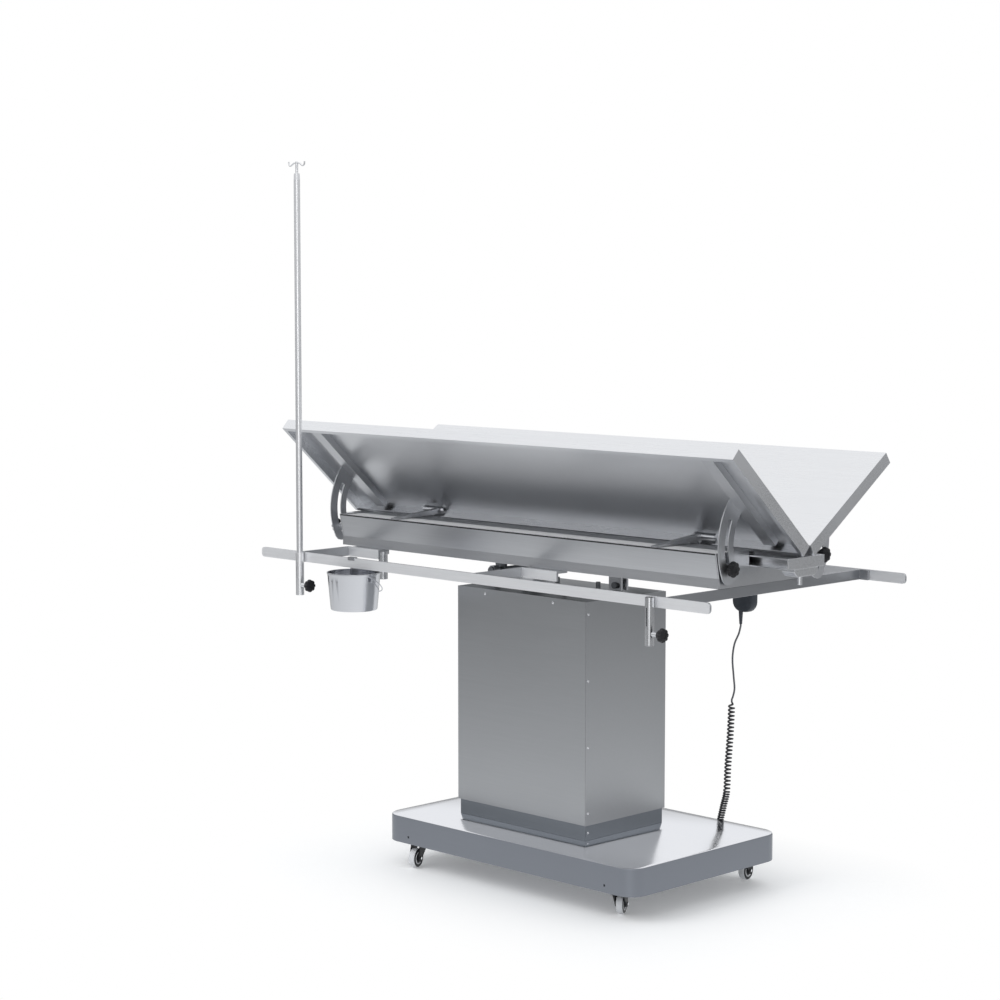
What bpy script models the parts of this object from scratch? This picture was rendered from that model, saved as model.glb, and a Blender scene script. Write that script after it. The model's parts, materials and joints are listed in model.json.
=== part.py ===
"""Surgery table with a V top: two hinged wings over a tilting chassis, on a lifting column and castors.

Metres, +Z up, +X towards the end where the pendant hangs, -Y towards the side with the drip pole.
All sizes below are laid out with the middle of the base at X = 0, Y = 0 and the floor at Z = 0.
The last step moves the whole table sideways so that its outer box is centred on the origin.
"""

import math

import bmesh
import bpy
from mathutils import Euler, Matrix, Vector

for old in list(bpy.data.objects):
    bpy.data.objects.remove(old, do_unlink=True)

# Clearances and shared thicknesses
GAP = 0.0003
OVERRUN = 0.004
WELD = 0.0006
SHEET = 0.0015
RUN = 0.0006

# Base
BASE_LENGTH = 0.834
BASE_WIDTH = 0.536
BASE_BOTTOM = 0.062
BASE_HEIGHT = 0.067
BASE_CORNER = 0.045
BASE_EDGE = 0.004
BASE_SHEET = 0.002
BASE_TOP = BASE_BOTTOM + BASE_HEIGHT
BASE_HOLE_RADIUS = 0.003
BASE_HOLE_INSET = 0.087
BASE_HOLE_DROP = 0.050
BEAM_WIDTH = 0.060
BEAM_SPREAD = 0.045
BEAM_CLEAR = 0.012

# Castors
CASTOR_INSET_X = 0.082
CASTOR_INSET_Y = 0.046
CASTOR_X = BASE_LENGTH / 2 - CASTOR_INSET_X
CASTOR_Y = BASE_WIDTH / 2 - CASTOR_INSET_Y
WHEEL_RADIUS = 0.024
WHEEL_WIDTH = 0.018
WHEEL_CROWN = 0.004
AXLE_RADIUS = 0.004
AXLE_HEAD = 0.002
TRAIL = 0.022
FORK_TOP = 0.0655
CROWN_RADIUS = 0.022
CROWN_HEIGHT = 0.013
CHEEK = 0.0035
CHEEK_SIDE = 0.0015
CHEEK_TIP = 0.009
SWIVEL_RADIUS = 0.006
PEDAL_LENGTH = 0.030
PEDAL_WIDTH = 0.022
PEDAL_THICK = 0.004
PEDAL_PIN = 0.002
CASTORS = (
    ("front_left", -1, -1, -73, False),
    ("front_right", 1, -1, 118, True),
    ("rear_left", -1, 1, 60, False),
    ("rear_right", 1, 1, 100, True),
)

# Column
COLUMN_X = -0.0625
COLUMN_LENGTH = 0.435
COLUMN_WIDTH = 0.286
COLUMN_BOTTOM = 0.1665
COLUMN_TOP = 0.704
PLINTH_INSET = 0.0045
PLINTH_TOP = 0.620
RIVET_RADIUS = 0.0032
RIVET_HEAD = 0.0012
RIVET_INSET = 0.008
RIVET_SHARES = (0.945, 0.648, 0.350, 0.055)
SCREW_DROP = 0.012
SCREW_SHARES = (0.22, 0.75)
TOP_PLATE = 0.003
LIFT_OUTER = 0.040
LIFT_WALL = 0.005
LIFT_FOOT = 0.012
LIFT_TOP = 0.580
LIFT_TUBE_BOTTOM = 0.175
STUD_SPACING = 0.138
STUD_Y = 0.060
STUD_RADIUS = 0.006
STUD_HEIGHT = 0.017

# Tilting
PIVOT_X = -0.215
PIVOT_Z = 0.742
PIVOT_RADIUS = 0.007
PIVOT_CAP = 0.010
PIVOT_CAP_LENGTH = 0.004
STAND_Y = 0.080
STAND_WIDTH = 0.018
STAND_DEPTH = 0.024
STAND_FOOT = 0.004
STAND_SIDE = 0.012
LUG_Y = 0.055
LUG_THICK = 0.008
LUG_WIDTH = 0.040
RAM_X = 0.128
RAM_PIN_Z = 0.730
RAM_PIN_RADIUS = 0.005
RAM_PIN_HEAD = 0.008
RAM_RADIUS = 0.011
RAM_BOTTOM = 0.470
RAM_GUIDE_WALL = 0.004
RAM_GUIDE_BOTTOM = 0.520
RAM_EYE_THICK = 0.013
RAM_EYE_RADIUS = 0.011
RAM_SHOULDER_DROP = 0.022
CLEVIS_CHEEK = 0.006
CLEVIS_WIDTH = 0.040
CLEVIS_DROP = 0.012
CLEVIS_PLATE = 0.005
SLOT_PLAY = 0.0012
SLOT_SLIDE = 0.0105

# Chassis under the wings
TOP_X = -0.0486
WING_LENGTH = 1.500
WING_OVERHANG = 0.119
CHASSIS_LENGTH = WING_LENGTH - 2 * WING_OVERHANG
CHASSIS_BOTTOM = 0.7767
CREASE_Z = 0.800
CHASSIS_TOP = 0.8577
CHASSIS_HALF_TOP = 0.1823
CHASSIS_HALF_LOW = 0.1709
CHASSIS_SHEET = 0.002
END_PLATE = 0.003
DECK_TOP = 0.8545
DECK_SHEET = 0.002
BEAM_LEFT_INSET = 0.001
BEAM_RIGHT_INSET = 0.009
BEAM_HALF = 0.066
BEAM_TOP = 0.8450
BEAM_DEPTH = 0.025
BEAM_WALL = 0.003
CHANNEL_DEPTH = 0.026
GUTTER_FLOOR = 0.004
HINGE_Y = 0.013
HINGE_Z = 0.8696
HINGE_INSET = 0.326
HINGE_NECK = 0.003
HINGE_SLEEVE = 0.0048
HINGE_BALL = 0.0058
HINGE_LENGTH = 0.066
HINGE_EYE = 0.0055
HINGE_EYE_TURNS_DEG = (205, 160, 125, 90, 55)
HINGE_BAR_WIDTH = 0.016
HINGE_BAR_THICK = 0.004
HINGE_BAR_INSET = 0.0103
HINGE_SADDLE_DROP = 0.004
HINGE_SADDLE_DEPTH = 0.006
SPOUT_RADIUS = 0.016
SPOUT_WALL = 0.002
SPOUT_NECK = 0.010
SPOUT_COLLAR_BOTTOM = 0.735
SPOUT_BOTTOM = 0.668
SPOUT_INSET = 0.084
BLOCK_LENGTH = 0.036
BLOCK_WIDTH = 0.086
BLOCK_HEIGHT = 0.018
BLOCK_CHAMFER = 0.011
BLOCK_PEG_RADIUS = 0.006
BLOCK_PEG = 0.022

# Wings
WING_WIDTH = 0.341
WING_START = -0.009
WING_RISE = 0.008
WING_SHEET = 0.0018
WING_RIM = 0.0295
WING_LIP = 0.011
WING_NOTCH_PLAY = 0.004
FRONT_ANGLE_DEG = 42.4
REAR_ANGLE_DEG = 34.4
RIB_WIDTH = 0.034
RIB_DEPTH = 0.0185
RIB_START = 0.006
RIB_WALL = 0.002
LUG_REACH = 0.005
LUG_SIDE = 0.006
ARC_OUTER = 0.171
ARC_INNER = 0.119
ARC_SLOT_OUTER = 0.149
ARC_SLOT_INNER = 0.137
ARC_THICK = 0.003
ARC_START_DEG = -1.5
FRONT_CLAMP_DEG = 19.7
REAR_CLAMP_DEG = 15.3
SLOT_LEAD_DEG = 2.9
SLOT_SWING_DEG = 48.1
ARC_SWING_DEG = 48.6
BOSS_RADIUS = 0.011
NEAR_BOSS = 0.0052
FAR_BOSS = 0.0310
KNOB_RADIUS = 0.0185
KNOB_THICK = 0.013
KNOB_LOBES = 8
KNOB_DIP_SHARE = 0.13
KNOB_NECK = 0.009
KNOB_NECK_LENGTH = 0.006
KNOB_SHANK = 0.004
SMALL_KNOB_RADIUS = 0.0160

# Rails
RAIL_Y = 0.3544
RAIL_THICK = 0.006
RAIL_HEIGHT = 0.0245
RAIL_TOP = 0.7769
RAIL_CORNER = 0.0085
RAIL_INSET = 0.0126
RAIL_REACH = 0.0076
RAIL_LEFT = TOP_X - WING_LENGTH / 2 + RAIL_INSET
RAIL_RIGHT = TOP_X + WING_LENGTH / 2 + RAIL_REACH
ARM_INSET = 0.146
MIDDLE_ARM_X = -0.015
ARM_PLACES = (RAIL_LEFT + ARM_INSET, MIDDLE_ARM_X)
ARM_LEG = 0.118
ARM_BEND_Y = 0.190
ARM_THICK = 0.006
CROSSBAR_INSET = 0.0054
CROSSBAR_X = TOP_X + CHASSIS_LENGTH / 2 - CROSSBAR_INSET
CROSSBAR_THICK = 0.006
CROSSBAR_TURN = 0.030

# Sockets and drip pole
SOCKET_RADIUS = 0.0104
SOCKET_BORE = 0.0084
SOCKET_TOP = 0.7755
SOCKET_BOTTOM = 0.6690
SOCKET_FLOOR = 0.002
SOCKET_KNOB_Z = 0.695
SOCKET_BOSS = 0.0055
SOCKET_BOSS_LENGTH = 0.025
SOCKET_SLIT = 0.0025
SOCKET_SLIT_TOP = 0.753
SOCKET_SLIT_BOTTOM = 0.712
POLE_INSET = 0.163
SPARE_INSET = 0.1605
POLE_SOCKET_X = RAIL_LEFT + POLE_INSET
SPARE_SOCKET_X = RAIL_RIGHT - SPARE_INSET
POLE_RADIUS = 0.0080
POLE_BORE = 0.0048
POLE_TOP = 1.723
POLE_SHOULDER = 0.016
STEM_RADIUS = 0.0036
STEM_BOTTOM = 1.280
STEM_TOP = 1.752
HOOK_REACH = 0.026
HOOK_RADIUS = 0.0022
HOOK_RISE = 0.006
HOOK_DROP = 0.008

# Pail
PAIL_INSET = 0.3475
PAIL_DROP = 0.0104
PAIL_X = RAIL_LEFT + PAIL_INSET
PAIL_TOP = RAIL_TOP - RAIL_HEIGHT - PAIL_DROP
PAIL_HEIGHT = 0.093
PAIL_RADIUS = 0.067
PAIL_BASE_RADIUS = 0.058
PAIL_WALL = 0.0012
PAIL_RIM = 0.003
PAIL_FLOOR = 0.002
STRAP_WIDTH = 0.024
STRAP_THICK = 0.002
STRAP_LIP = 0.008
STRAP_DEPTH = 0.020
EAR_DROP = 0.014
EAR_SIZE = 0.014
EAR_THICK = 0.003
EAR_STAND = 0.006
BAIL_RADIUS = 0.0015
BAIL_ANGLE_DEG = 32

# Pendant and cord
PENDANT_X = 0.243
PENDANT_WIDTH = 0.064
PENDANT_THICK = 0.026
PENDANT_BOTTOM = 0.642
PENDANT_HEIGHT = 0.120
PENDANT_FOOT_ROUND = 0.026
PENDANT_HEAD_ROUND = 0.010
PENDANT_ROUND = 0.006
CLIP_THICK = 0.0012
CLIP_WIDTH = 0.018
CLIP_LIP = 0.016
CLIP_START = 0.030
BUTTON_SIZE = 0.015
BUTTON_STAND = 0.0022
BUTTON_DEPTH = 0.004
BUTTON_SHARES = (0.70, 0.48)
RELIEF_X = 0.2300
RELIEF_TOP_RADIUS = 0.0060
RELIEF_END_RADIUS = 0.0036
RELIEF_LENGTH = 0.032
RELIEF_SUNK = 0.008
CORD_RADIUS = 0.0023
GLAND_X = 0.196
GLAND_Z = 0.090
GLAND_RADIUS = 0.008
GLAND_LENGTH = 0.011
GLAND_ROOT = 0.0056
CURL_RADIUS = 0.0068
OPEN_CURLS = 23
TIGHT_CURLS = 13
CURL_POINTS = 8
LEAD_POINTS = 26
LEAD_ROUTE = (
    (0.2300, 0.3396, 0.6090),
    (0.2240, 0.3396, 0.5850),
    (0.2110, 0.3390, 0.5571),
    (0.2085, 0.3350, 0.5209),
    (0.2167, 0.3300, 0.4789),
    (0.2240, 0.3250, 0.4504),
    (0.2262, 0.3180, 0.4336),
    (0.2262, 0.3120, 0.4230),
)
CURL_AXIS = (
    (0.2262, 0.3120, 0.4120),
    (0.2275, 0.3060, 0.3400),
    (0.2282, 0.2970, 0.2600),
    (0.2280, 0.2930, 0.1945),
    (0.2200, 0.2920, 0.1600),
    (0.2080, 0.2920, 0.1150),
)

PARTS = bpy.data.collections.new("surgery_table")
TOOLS = bpy.data.collections.new("cutters")
for group in (PARTS, TOOLS):
    bpy.context.scene.collection.children.link(group)

AXES = {
    "X": Matrix(((0, 0, 1), (1, 0, 0), (0, 1, 0))).to_4x4(),
    "Y": Matrix(((1, 0, 0), (0, 0, -1), (0, 1, 0))).to_4x4(),
    "Z": Matrix.Identity(4),
}


def material(name, colour, roughness, metallic):
    made = bpy.data.materials.new(name)
    made.use_nodes = True
    shader = made.node_tree.nodes["Principled BSDF"]
    shader.inputs["Base Color"].default_value = (*colour, 1.0)
    shader.inputs["Roughness"].default_value = roughness
    shader.inputs["Metallic"].default_value = metallic
    made.diffuse_color = (*colour, 1.0)
    return made


STEEL = material("brushed_steel", (0.60, 0.61, 0.63), 0.35, 1.0)
BRIGHT = material("bright_steel", (0.78, 0.79, 0.81), 0.22, 1.0)
SHADE = material("dark_steel", (0.32, 0.34, 0.36), 0.45, 0.9)
BLACK = material("black_plastic", (0.012, 0.012, 0.014), 0.4, 0.0)
GREY = material("grey_rubber", (0.42, 0.43, 0.44), 0.6, 0.0)
CORD = material("cord_black", (0.02, 0.02, 0.022), 0.5, 0.0)


def tidy(mesh):
    """Smooth shading with the edges between flat faces kept sharp."""
    mesh.shade_smooth()
    mesh.set_sharp_from_angle(angle=math.radians(35))
    return mesh


def from_bmesh(bm, matrix=None):
    if matrix is not None:
        bmesh.ops.transform(bm, matrix=matrix, verts=bm.verts)
    mesh = bpy.data.meshes.new("shape")
    bm.to_mesh(mesh)
    bm.free()
    return tidy(mesh)


def brick(x0, x1, y0, y1, z0, z1):
    """A box between two corners."""
    bm = bmesh.new()
    bmesh.ops.create_cube(bm, size=1.0)
    centre = Vector((x0 + x1, y0 + y1, z0 + z1)) / 2
    size = Matrix.Diagonal((abs(x1 - x0), abs(y1 - y0), abs(z1 - z0), 1.0))
    return from_bmesh(bm, Matrix.Translation(centre) @ size)


def rod(axis, centre, radius, length, sides=16, end_radius=None):
    """A cylinder, or a cone with end_radius, centred on a point and lying along X, Y or Z."""
    bm = bmesh.new()
    far = radius if end_radius is None else end_radius
    bmesh.ops.create_cone(
        bm, cap_ends=True, segments=sides, radius1=radius, radius2=far, depth=length
    )
    return from_bmesh(bm, Matrix.Translation(Vector(centre)) @ AXES[axis])


def ball(centre, radius, sides=12):
    bm = bmesh.new()
    bmesh.ops.create_uvsphere(bm, u_segments=sides, v_segments=sides // 2, radius=radius)
    return from_bmesh(bm, Matrix.Translation(Vector(centre)))


def as_mesh(maker, matrix, weld):
    """The evaluated mesh of a helper object, which is then removed."""
    bpy.context.scene.collection.objects.link(maker)
    bpy.context.view_layer.update()
    graph = bpy.context.evaluated_depsgraph_get()
    mesh = bpy.data.meshes.new_from_object(maker.evaluated_get(graph))
    data = maker.data
    bpy.data.objects.remove(maker, do_unlink=True)
    if isinstance(data, bpy.types.Mesh):
        bpy.data.meshes.remove(data)
    else:
        bpy.data.curves.remove(data)
    bm = bmesh.new()
    bm.from_mesh(mesh)
    bpy.data.meshes.remove(mesh)
    bmesh.ops.remove_doubles(bm, verts=bm.verts, dist=weld)
    return from_bmesh(bm, matrix)


def outline(points, axis, start, end, holes=()):
    """A flat outline, with its holes, given thickness from start to end along an axis."""
    curve = bpy.data.curves.new("outline", "CURVE")
    curve.dimensions = "2D"
    curve.fill_mode = "BOTH"
    curve.resolution_u = 1
    curve.render_resolution_u = 0
    curve.extrude = abs(end - start) / 2
    for ring in (points, *holes):
        spline = curve.splines.new("POLY")
        spline.points.add(len(ring) - 1)
        for point, (u, v) in zip(spline.points, ring):
            point.co = (u, v, 0.0, 1.0)
        spline.use_cyclic_u = True
    middle = {"X": (1, 0, 0), "Y": (0, 1, 0), "Z": (0, 0, 1)}[axis]
    shift = Matrix.Translation(Vector(middle) * (start + end) / 2)
    return as_mesh(bpy.data.objects.new("outline", curve), shift @ AXES[axis], GAP / 10)


def tube(route, radius, resolution=2, cyclic=False):
    """A round bar along a list of points, with flat ends."""
    curve = bpy.data.curves.new("route", "CURVE")
    curve.dimensions = "3D"
    curve.resolution_u = 1
    curve.render_resolution_u = 0
    curve.bevel_depth = radius
    curve.bevel_resolution = resolution
    curve.use_fill_caps = True
    spline = curve.splines.new("POLY")
    spline.points.add(len(route) - 1)
    for point, place in zip(spline.points, route):
        point.co = (*place, 1.0)
    spline.use_cyclic_u = cyclic
    return as_mesh(bpy.data.objects.new("route", curve), Matrix.Identity(4), GAP / 10)


def turned(profile, matrix=None, steps=24):
    """A profile of (radius, height) pairs, listed down its outer side, turned about Z."""
    mesh = bpy.data.meshes.new("profile")
    closed = all(radius > 0 for radius, _ in profile)
    count = len(profile)
    edges = [(n, n + 1) for n in range(count - 1)]
    if closed:
        edges.append((count - 1, 0))
    mesh.from_pydata([(radius, 0.0, height) for radius, height in profile], edges, [])
    maker = bpy.data.objects.new("profile", mesh)
    screw = maker.modifiers.new("turn", "SCREW")
    screw.angle = math.tau
    screw.steps = steps
    screw.render_steps = steps
    screw.use_merge_vertices = True
    screw.merge_threshold = GAP / 10
    return as_mesh(maker, matrix or Matrix.Identity(4), GAP / 10)


def moved(mesh, matrix):
    mesh.transform(matrix)
    return mesh


def link(name, mesh, group, origin, turn):
    """An object whose origin is at a point and whose mesh was drawn in table coordinates."""
    mesh.transform(Matrix.Translation(-origin))
    made = bpy.data.objects.new(name, mesh)
    made.location = origin
    made.rotation_euler = turn
    group.objects.link(made)
    return made


def node(name, look, solids, cuts=(), origin=(0, 0, 0), turn=(0, 0, 0)):
    """One piece: its first solid, joined with the others, less the cuts."""
    origin = Vector(origin)
    turn = Euler(turn)
    body = link(name, solids[0], PARTS, origin, turn)
    body.data.materials.append(look)
    work = [(mesh, "UNION") for mesh in solids[1:]] + [(mesh, "DIFFERENCE") for mesh in cuts]
    for number, (mesh, operation) in enumerate(work):
        tool = link(f"{name}_tool_{number}", mesh, TOOLS, origin, turn)
        tool.hide_render = True
        tool.display_type = "WIRE"
        step = body.modifiers.new(f"step_{number}", "BOOLEAN")
        step.operation = operation
        step.solver = "EXACT"
        step.object = tool
    return body


def ring(cx, cy, radius, sides=20):
    return [
        (cx + radius * math.cos(math.tau * n / sides), cy + radius * math.sin(math.tau * n / sides))
        for n in range(sides)
    ]


def rect(u0, u1, v0, v1):
    return [(u0, v0), (u1, v0), (u1, v1), (u0, v1)]


def smooth_route(points, count):
    """Points along a smooth curve through the given places."""
    places = [Vector(p) for p in points]
    places = [2 * places[0] - places[1], *places, 2 * places[-1] - places[-2]]
    spans = len(places) - 3
    result = []
    for n in range(count):
        at = n / (count - 1) * spans
        k = min(int(at), spans - 1)
        t = at - k
        a, b, c, d = places[k : k + 4]
        result.append(
            0.5
            * (
                2 * b
                + (c - a) * t
                + (2 * a - 5 * b + 4 * c - d) * t * t
                + (3 * b - 3 * c + d - a) * t * t * t
            )
        )
    return result


# Base: a cover pressed from sheet, open below, over two beams that carry the castors

base = bmesh.new()
bmesh.ops.create_cube(base, size=1.0)
size = Matrix.Diagonal((BASE_LENGTH, BASE_WIDTH, BASE_HEIGHT, 1.0))
lift = Matrix.Translation((0, 0, BASE_BOTTOM + BASE_HEIGHT / 2))
bmesh.ops.transform(base, matrix=lift @ size, verts=base.verts)
upright = [e for e in base.edges if abs((e.verts[0].co - e.verts[1].co).z) > BASE_HEIGHT / 2]
bmesh.ops.bevel(base, geom=upright, offset=BASE_CORNER, segments=5, profile=0.5, affect="EDGES")
base.faces.ensure_lookup_table()
under = [f for f in base.faces if f.normal.z < -0.9]
bmesh.ops.delete(base, geom=under, context="FACES")
brow = [e for e in base.edges if all(v.co.z > BASE_TOP - GAP for v in e.verts)]
bmesh.ops.bevel(base, geom=brow, offset=BASE_EDGE, segments=2, profile=0.5, affect="EDGES")
cover = node(
    "base_cover",
    STEEL,
    [from_bmesh(base)],
)
wall = cover.modifiers.new("wall", "SOLIDIFY")
wall.thickness = BASE_SHEET
wall.offset = -1
for number, side in enumerate((-1, 1)):
    hole_z = BASE_TOP - BASE_HOLE_DROP
    drill = link(
        f"base_hole_{number}",
        rod(
            "Y",
            (side * (BASE_LENGTH / 2 - BASE_HOLE_INSET), -BASE_WIDTH / 2, hole_z),
            BASE_HOLE_RADIUS,
            BASE_SHEET + 2 * OVERRUN,
            12,
        ),
        TOOLS,
        Vector((0, 0, 0)),
        Euler((0, 0, 0)),
    )
    drill.hide_render = True
    drill.display_type = "WIRE"
    bore = cover.modifiers.new(f"hole_{number}", "BOOLEAN")
    bore.operation = "DIFFERENCE"
    bore.solver = "EXACT"
    bore.object = drill
gland_hole = link(
    "gland_hole",
    rod("Y", (GLAND_X, BASE_WIDTH / 2, GLAND_Z), GLAND_ROOT + GAP, 2 * BASE_SHEET + 2 * OVERRUN),
    TOOLS,
    Vector((0, 0, 0)),
    Euler((0, 0, 0)),
)
gland_hole.hide_render = True
gland_hole.display_type = "WIRE"
bore = cover.modifiers.new("gland_hole", "BOOLEAN")
bore.operation = "DIFFERENCE"
bore.solver = "EXACT"
bore.object = gland_hole

frame_top = BASE_TOP - BASE_SHEET - GAP
frame_low = FORK_TOP + GAP
reach_y = BASE_WIDTH / 2 - BASE_SHEET - BEAM_CLEAR
beams = [
    brick(
        side * CASTOR_X - BEAM_WIDTH / 2,
        side * CASTOR_X + BEAM_WIDTH / 2,
        -reach_y,
        reach_y,
        frame_low,
        frame_top,
    )
    for side in (-1, 1)
]
ties = [
    brick(
        -CASTOR_X,
        CASTOR_X,
        side * BEAM_SPREAD - BEAM_SPREAD / 3,
        side * BEAM_SPREAD + BEAM_SPREAD / 3,
        frame_low,
        frame_top,
    )
    for side in (-1, 1)
]
sockets = [
    rod("Z", (sx * CASTOR_X, sy * CASTOR_Y, frame_low), SWIVEL_RADIUS + RUN, 2 * (frame_top - frame_low))
    for _, sx, sy, _, _ in CASTORS
]
node("base_frame", SHADE, [*beams, *ties], sockets)

# Castors: a fork that swivels under each corner, its wheel, and a brake pedal on two of them

cheek_in = WHEEL_WIDTH / 2 + CHEEK_SIDE
cheek_out = cheek_in + CHEEK
pin_x = CROWN_RADIUS + 2.5 * PEDAL_PIN
pin_z = FORK_TOP - CROWN_HEIGHT * 0.75
for label, sx, sy, heading, braked in CASTORS:
    centre = Vector((sx * CASTOR_X, sy * CASTOR_Y, 0))
    spin = Matrix.Translation(centre) @ Matrix.Rotation(math.radians(heading), 4, "Z")
    side_view = [
        (-CROWN_RADIUS * 0.8, FORK_TOP - CROWN_HEIGHT / 2),
        (TRAIL - CHEEK_TIP, WHEEL_RADIUS),
        (TRAIL - CHEEK_TIP * 0.7, WHEEL_RADIUS - CHEEK_TIP * 0.7),
        (TRAIL, WHEEL_RADIUS - CHEEK_TIP),
        (TRAIL + CHEEK_TIP * 0.7, WHEEL_RADIUS - CHEEK_TIP * 0.7),
        (TRAIL + CHEEK_TIP, WHEEL_RADIUS),
        (CROWN_RADIUS, FORK_TOP - CROWN_HEIGHT / 2),
    ]
    fork = [
        rod("Z", (0, 0, FORK_TOP - CROWN_HEIGHT / 2), CROWN_RADIUS, CROWN_HEIGHT, 20),
        outline(side_view, "Y", cheek_in, cheek_out),
        outline(side_view, "Y", -cheek_out, -cheek_in),
        rod("Y", (TRAIL, 0, WHEEL_RADIUS), AXLE_RADIUS, 2 * (cheek_out + AXLE_HEAD), 12),
        rod("Z", (0, 0, FORK_TOP), SWIVEL_RADIUS, 2 * CROWN_HEIGHT, 12),
    ]
    cuts = []
    if braked:
        fork.append(
            brick(
                CROWN_RADIUS / 2,
                pin_x + 2 * PEDAL_PIN,
                -PEDAL_WIDTH / 4 + GAP,
                PEDAL_WIDTH / 4 - GAP,
                FORK_TOP - CROWN_HEIGHT,
                FORK_TOP - CROWN_HEIGHT / 2,
            )
        )
        cuts.append(rod("Y", (pin_x, 0, pin_z), PEDAL_PIN + RUN / 2, PEDAL_WIDTH, 12))
    node(
        f"castor_fork_{label}",
        BLACK,
        [moved(mesh, spin) for mesh in fork],
        [moved(mesh, spin) for mesh in cuts],
        origin=centre,
    )
    half = WHEEL_WIDTH / 2
    tyre = [
        (WHEEL_RADIUS - WHEEL_CROWN, half),
        (WHEEL_RADIUS, half - WHEEL_CROWN),
        (WHEEL_RADIUS, -half + WHEEL_CROWN),
        (WHEEL_RADIUS - WHEEL_CROWN, -half),
        (AXLE_RADIUS + GAP, -half),
        (AXLE_RADIUS + GAP, half),
    ]
    hub = Matrix.Translation((TRAIL, 0, WHEEL_RADIUS)) @ Matrix.Rotation(math.pi / 2, 4, "X")
    node(
        f"castor_wheel_{label}",
        GREY,
        [turned(tyre, spin @ hub, 24)],
        origin=spin @ Vector((TRAIL, 0, WHEEL_RADIUS)),
    )
    if braked:
        arm_in = PEDAL_WIDTH / 4 + GAP
        arm_out = PEDAL_WIDTH / 2
        pedal = [
            brick(
                pin_x + PEDAL_PIN * 2.5,
                pin_x + PEDAL_LENGTH * 0.8,
                -PEDAL_WIDTH / 2,
                PEDAL_WIDTH / 2,
                pin_z - PEDAL_THICK / 2,
                pin_z + PEDAL_THICK / 2,
            ),
            brick(
                pin_x - PEDAL_PIN * 1.5,
                pin_x + PEDAL_LENGTH * 0.5,
                arm_in,
                arm_out,
                pin_z - PEDAL_THICK * 0.55,
                pin_z + PEDAL_THICK * 0.55,
            ),
            brick(
                pin_x - PEDAL_PIN * 1.5,
                pin_x + PEDAL_LENGTH * 0.5,
                -arm_out,
                -arm_in,
                pin_z - PEDAL_THICK * 0.55,
                pin_z + PEDAL_THICK * 0.55,
            ),
            rod("Y", (pin_x, 0, pin_z), PEDAL_PIN, PEDAL_WIDTH * 0.9, 12),
        ]
        node(
            f"castor_pedal_{label}",
            BLACK,
            [moved(mesh, spin) for mesh in pedal],
            origin=spin @ Vector((pin_x, 0, pin_z)),
        )

# Column: a fixed plinth and post, and a shroud that rises with the top

left = COLUMN_X - COLUMN_LENGTH / 2
right = COLUMN_X + COLUMN_LENGTH / 2
front = -COLUMN_WIDTH / 2
back = COLUMN_WIDTH / 2
plinth_x = COLUMN_LENGTH / 2 - PLINTH_INSET
plinth_y = COLUMN_WIDTH / 2 - PLINTH_INSET
plinth = outline(
    [(COLUMN_X + x, y) for x, y in rect(-plinth_x, plinth_x, -plinth_y, plinth_y)],
    "Z",
    BASE_TOP + GAP,
    PLINTH_TOP,
    [[(COLUMN_X + x, y) for x, y in rect(SHEET - plinth_x, plinth_x - SHEET, SHEET - plinth_y, plinth_y - SHEET)]],
)
node(
    "plinth",
    SHADE,
    [
        plinth,
        rod(
            "X",
            (COLUMN_X + plinth_x, front + RIVET_INSET, (BASE_TOP + COLUMN_BOTTOM) / 2),
            RIVET_RADIUS,
            2 * RIVET_HEAD,
            12,
        ),
    ],
)
post_inner = LIFT_OUTER - LIFT_WALL
node(
    "lift_post",
    SHADE,
    [
        turned(
            [
                (LIFT_OUTER, LIFT_TOP),
                (LIFT_OUTER, BASE_TOP + LIFT_FOOT),
                (LIFT_OUTER + LIFT_FOOT, BASE_TOP + LIFT_FOOT),
                (LIFT_OUTER + LIFT_FOOT, BASE_TOP + GAP),
                (post_inner, BASE_TOP + GAP),
                (post_inner, LIFT_TOP),
            ],
            Matrix.Translation((COLUMN_X, 0, 0)),
        )
    ],
)
wrap = [
    (right - SHEET - GAP, front),
    (left, front),
    (left, back),
    (right - SHEET - GAP, back),
    (right - SHEET - GAP, back - SHEET),
    (left + SHEET, back - SHEET),
    (left + SHEET, front + SHEET),
    (right - SHEET - GAP, front + SHEET),
]
screw_z = COLUMN_TOP - SCREW_DROP
node(
    "shroud_wrap",
    STEEL,
    [
        outline(wrap, "Z", COLUMN_BOTTOM, COLUMN_TOP),
        *[
            rod("Y", (left + share * COLUMN_LENGTH, front, screw_z), RIVET_RADIUS, 2 * RIVET_HEAD, 12)
            for share in SCREW_SHARES
        ],
    ],
)
column_height = COLUMN_TOP - COLUMN_BOTTOM
node(
    "shroud_end",
    STEEL,
    [
        brick(right - SHEET, right, front, back, COLUMN_BOTTOM, COLUMN_TOP),
        *[
            rod(
                "X",
                (right, front + RIVET_INSET, COLUMN_BOTTOM + share * column_height),
                RIVET_RADIUS,
                2 * RIVET_HEAD,
                12,
            )
            for share in RIVET_SHARES
        ],
    ],
)
lid_low = COLUMN_TOP - TOP_PLATE
tube_outer = post_inner - RUN
studs = [
    rod(
        "Z",
        (COLUMN_X + sx * STUD_SPACING / 2, sy * STUD_Y, COLUMN_TOP + STUD_HEIGHT / 2 - WELD),
        STUD_RADIUS,
        STUD_HEIGHT + WELD,
        6,
    )
    for sx in (-1, 1)
    for sy in (-1, 1)
]
guide_outer = RAM_RADIUS + RUN + RAM_GUIDE_WALL
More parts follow.
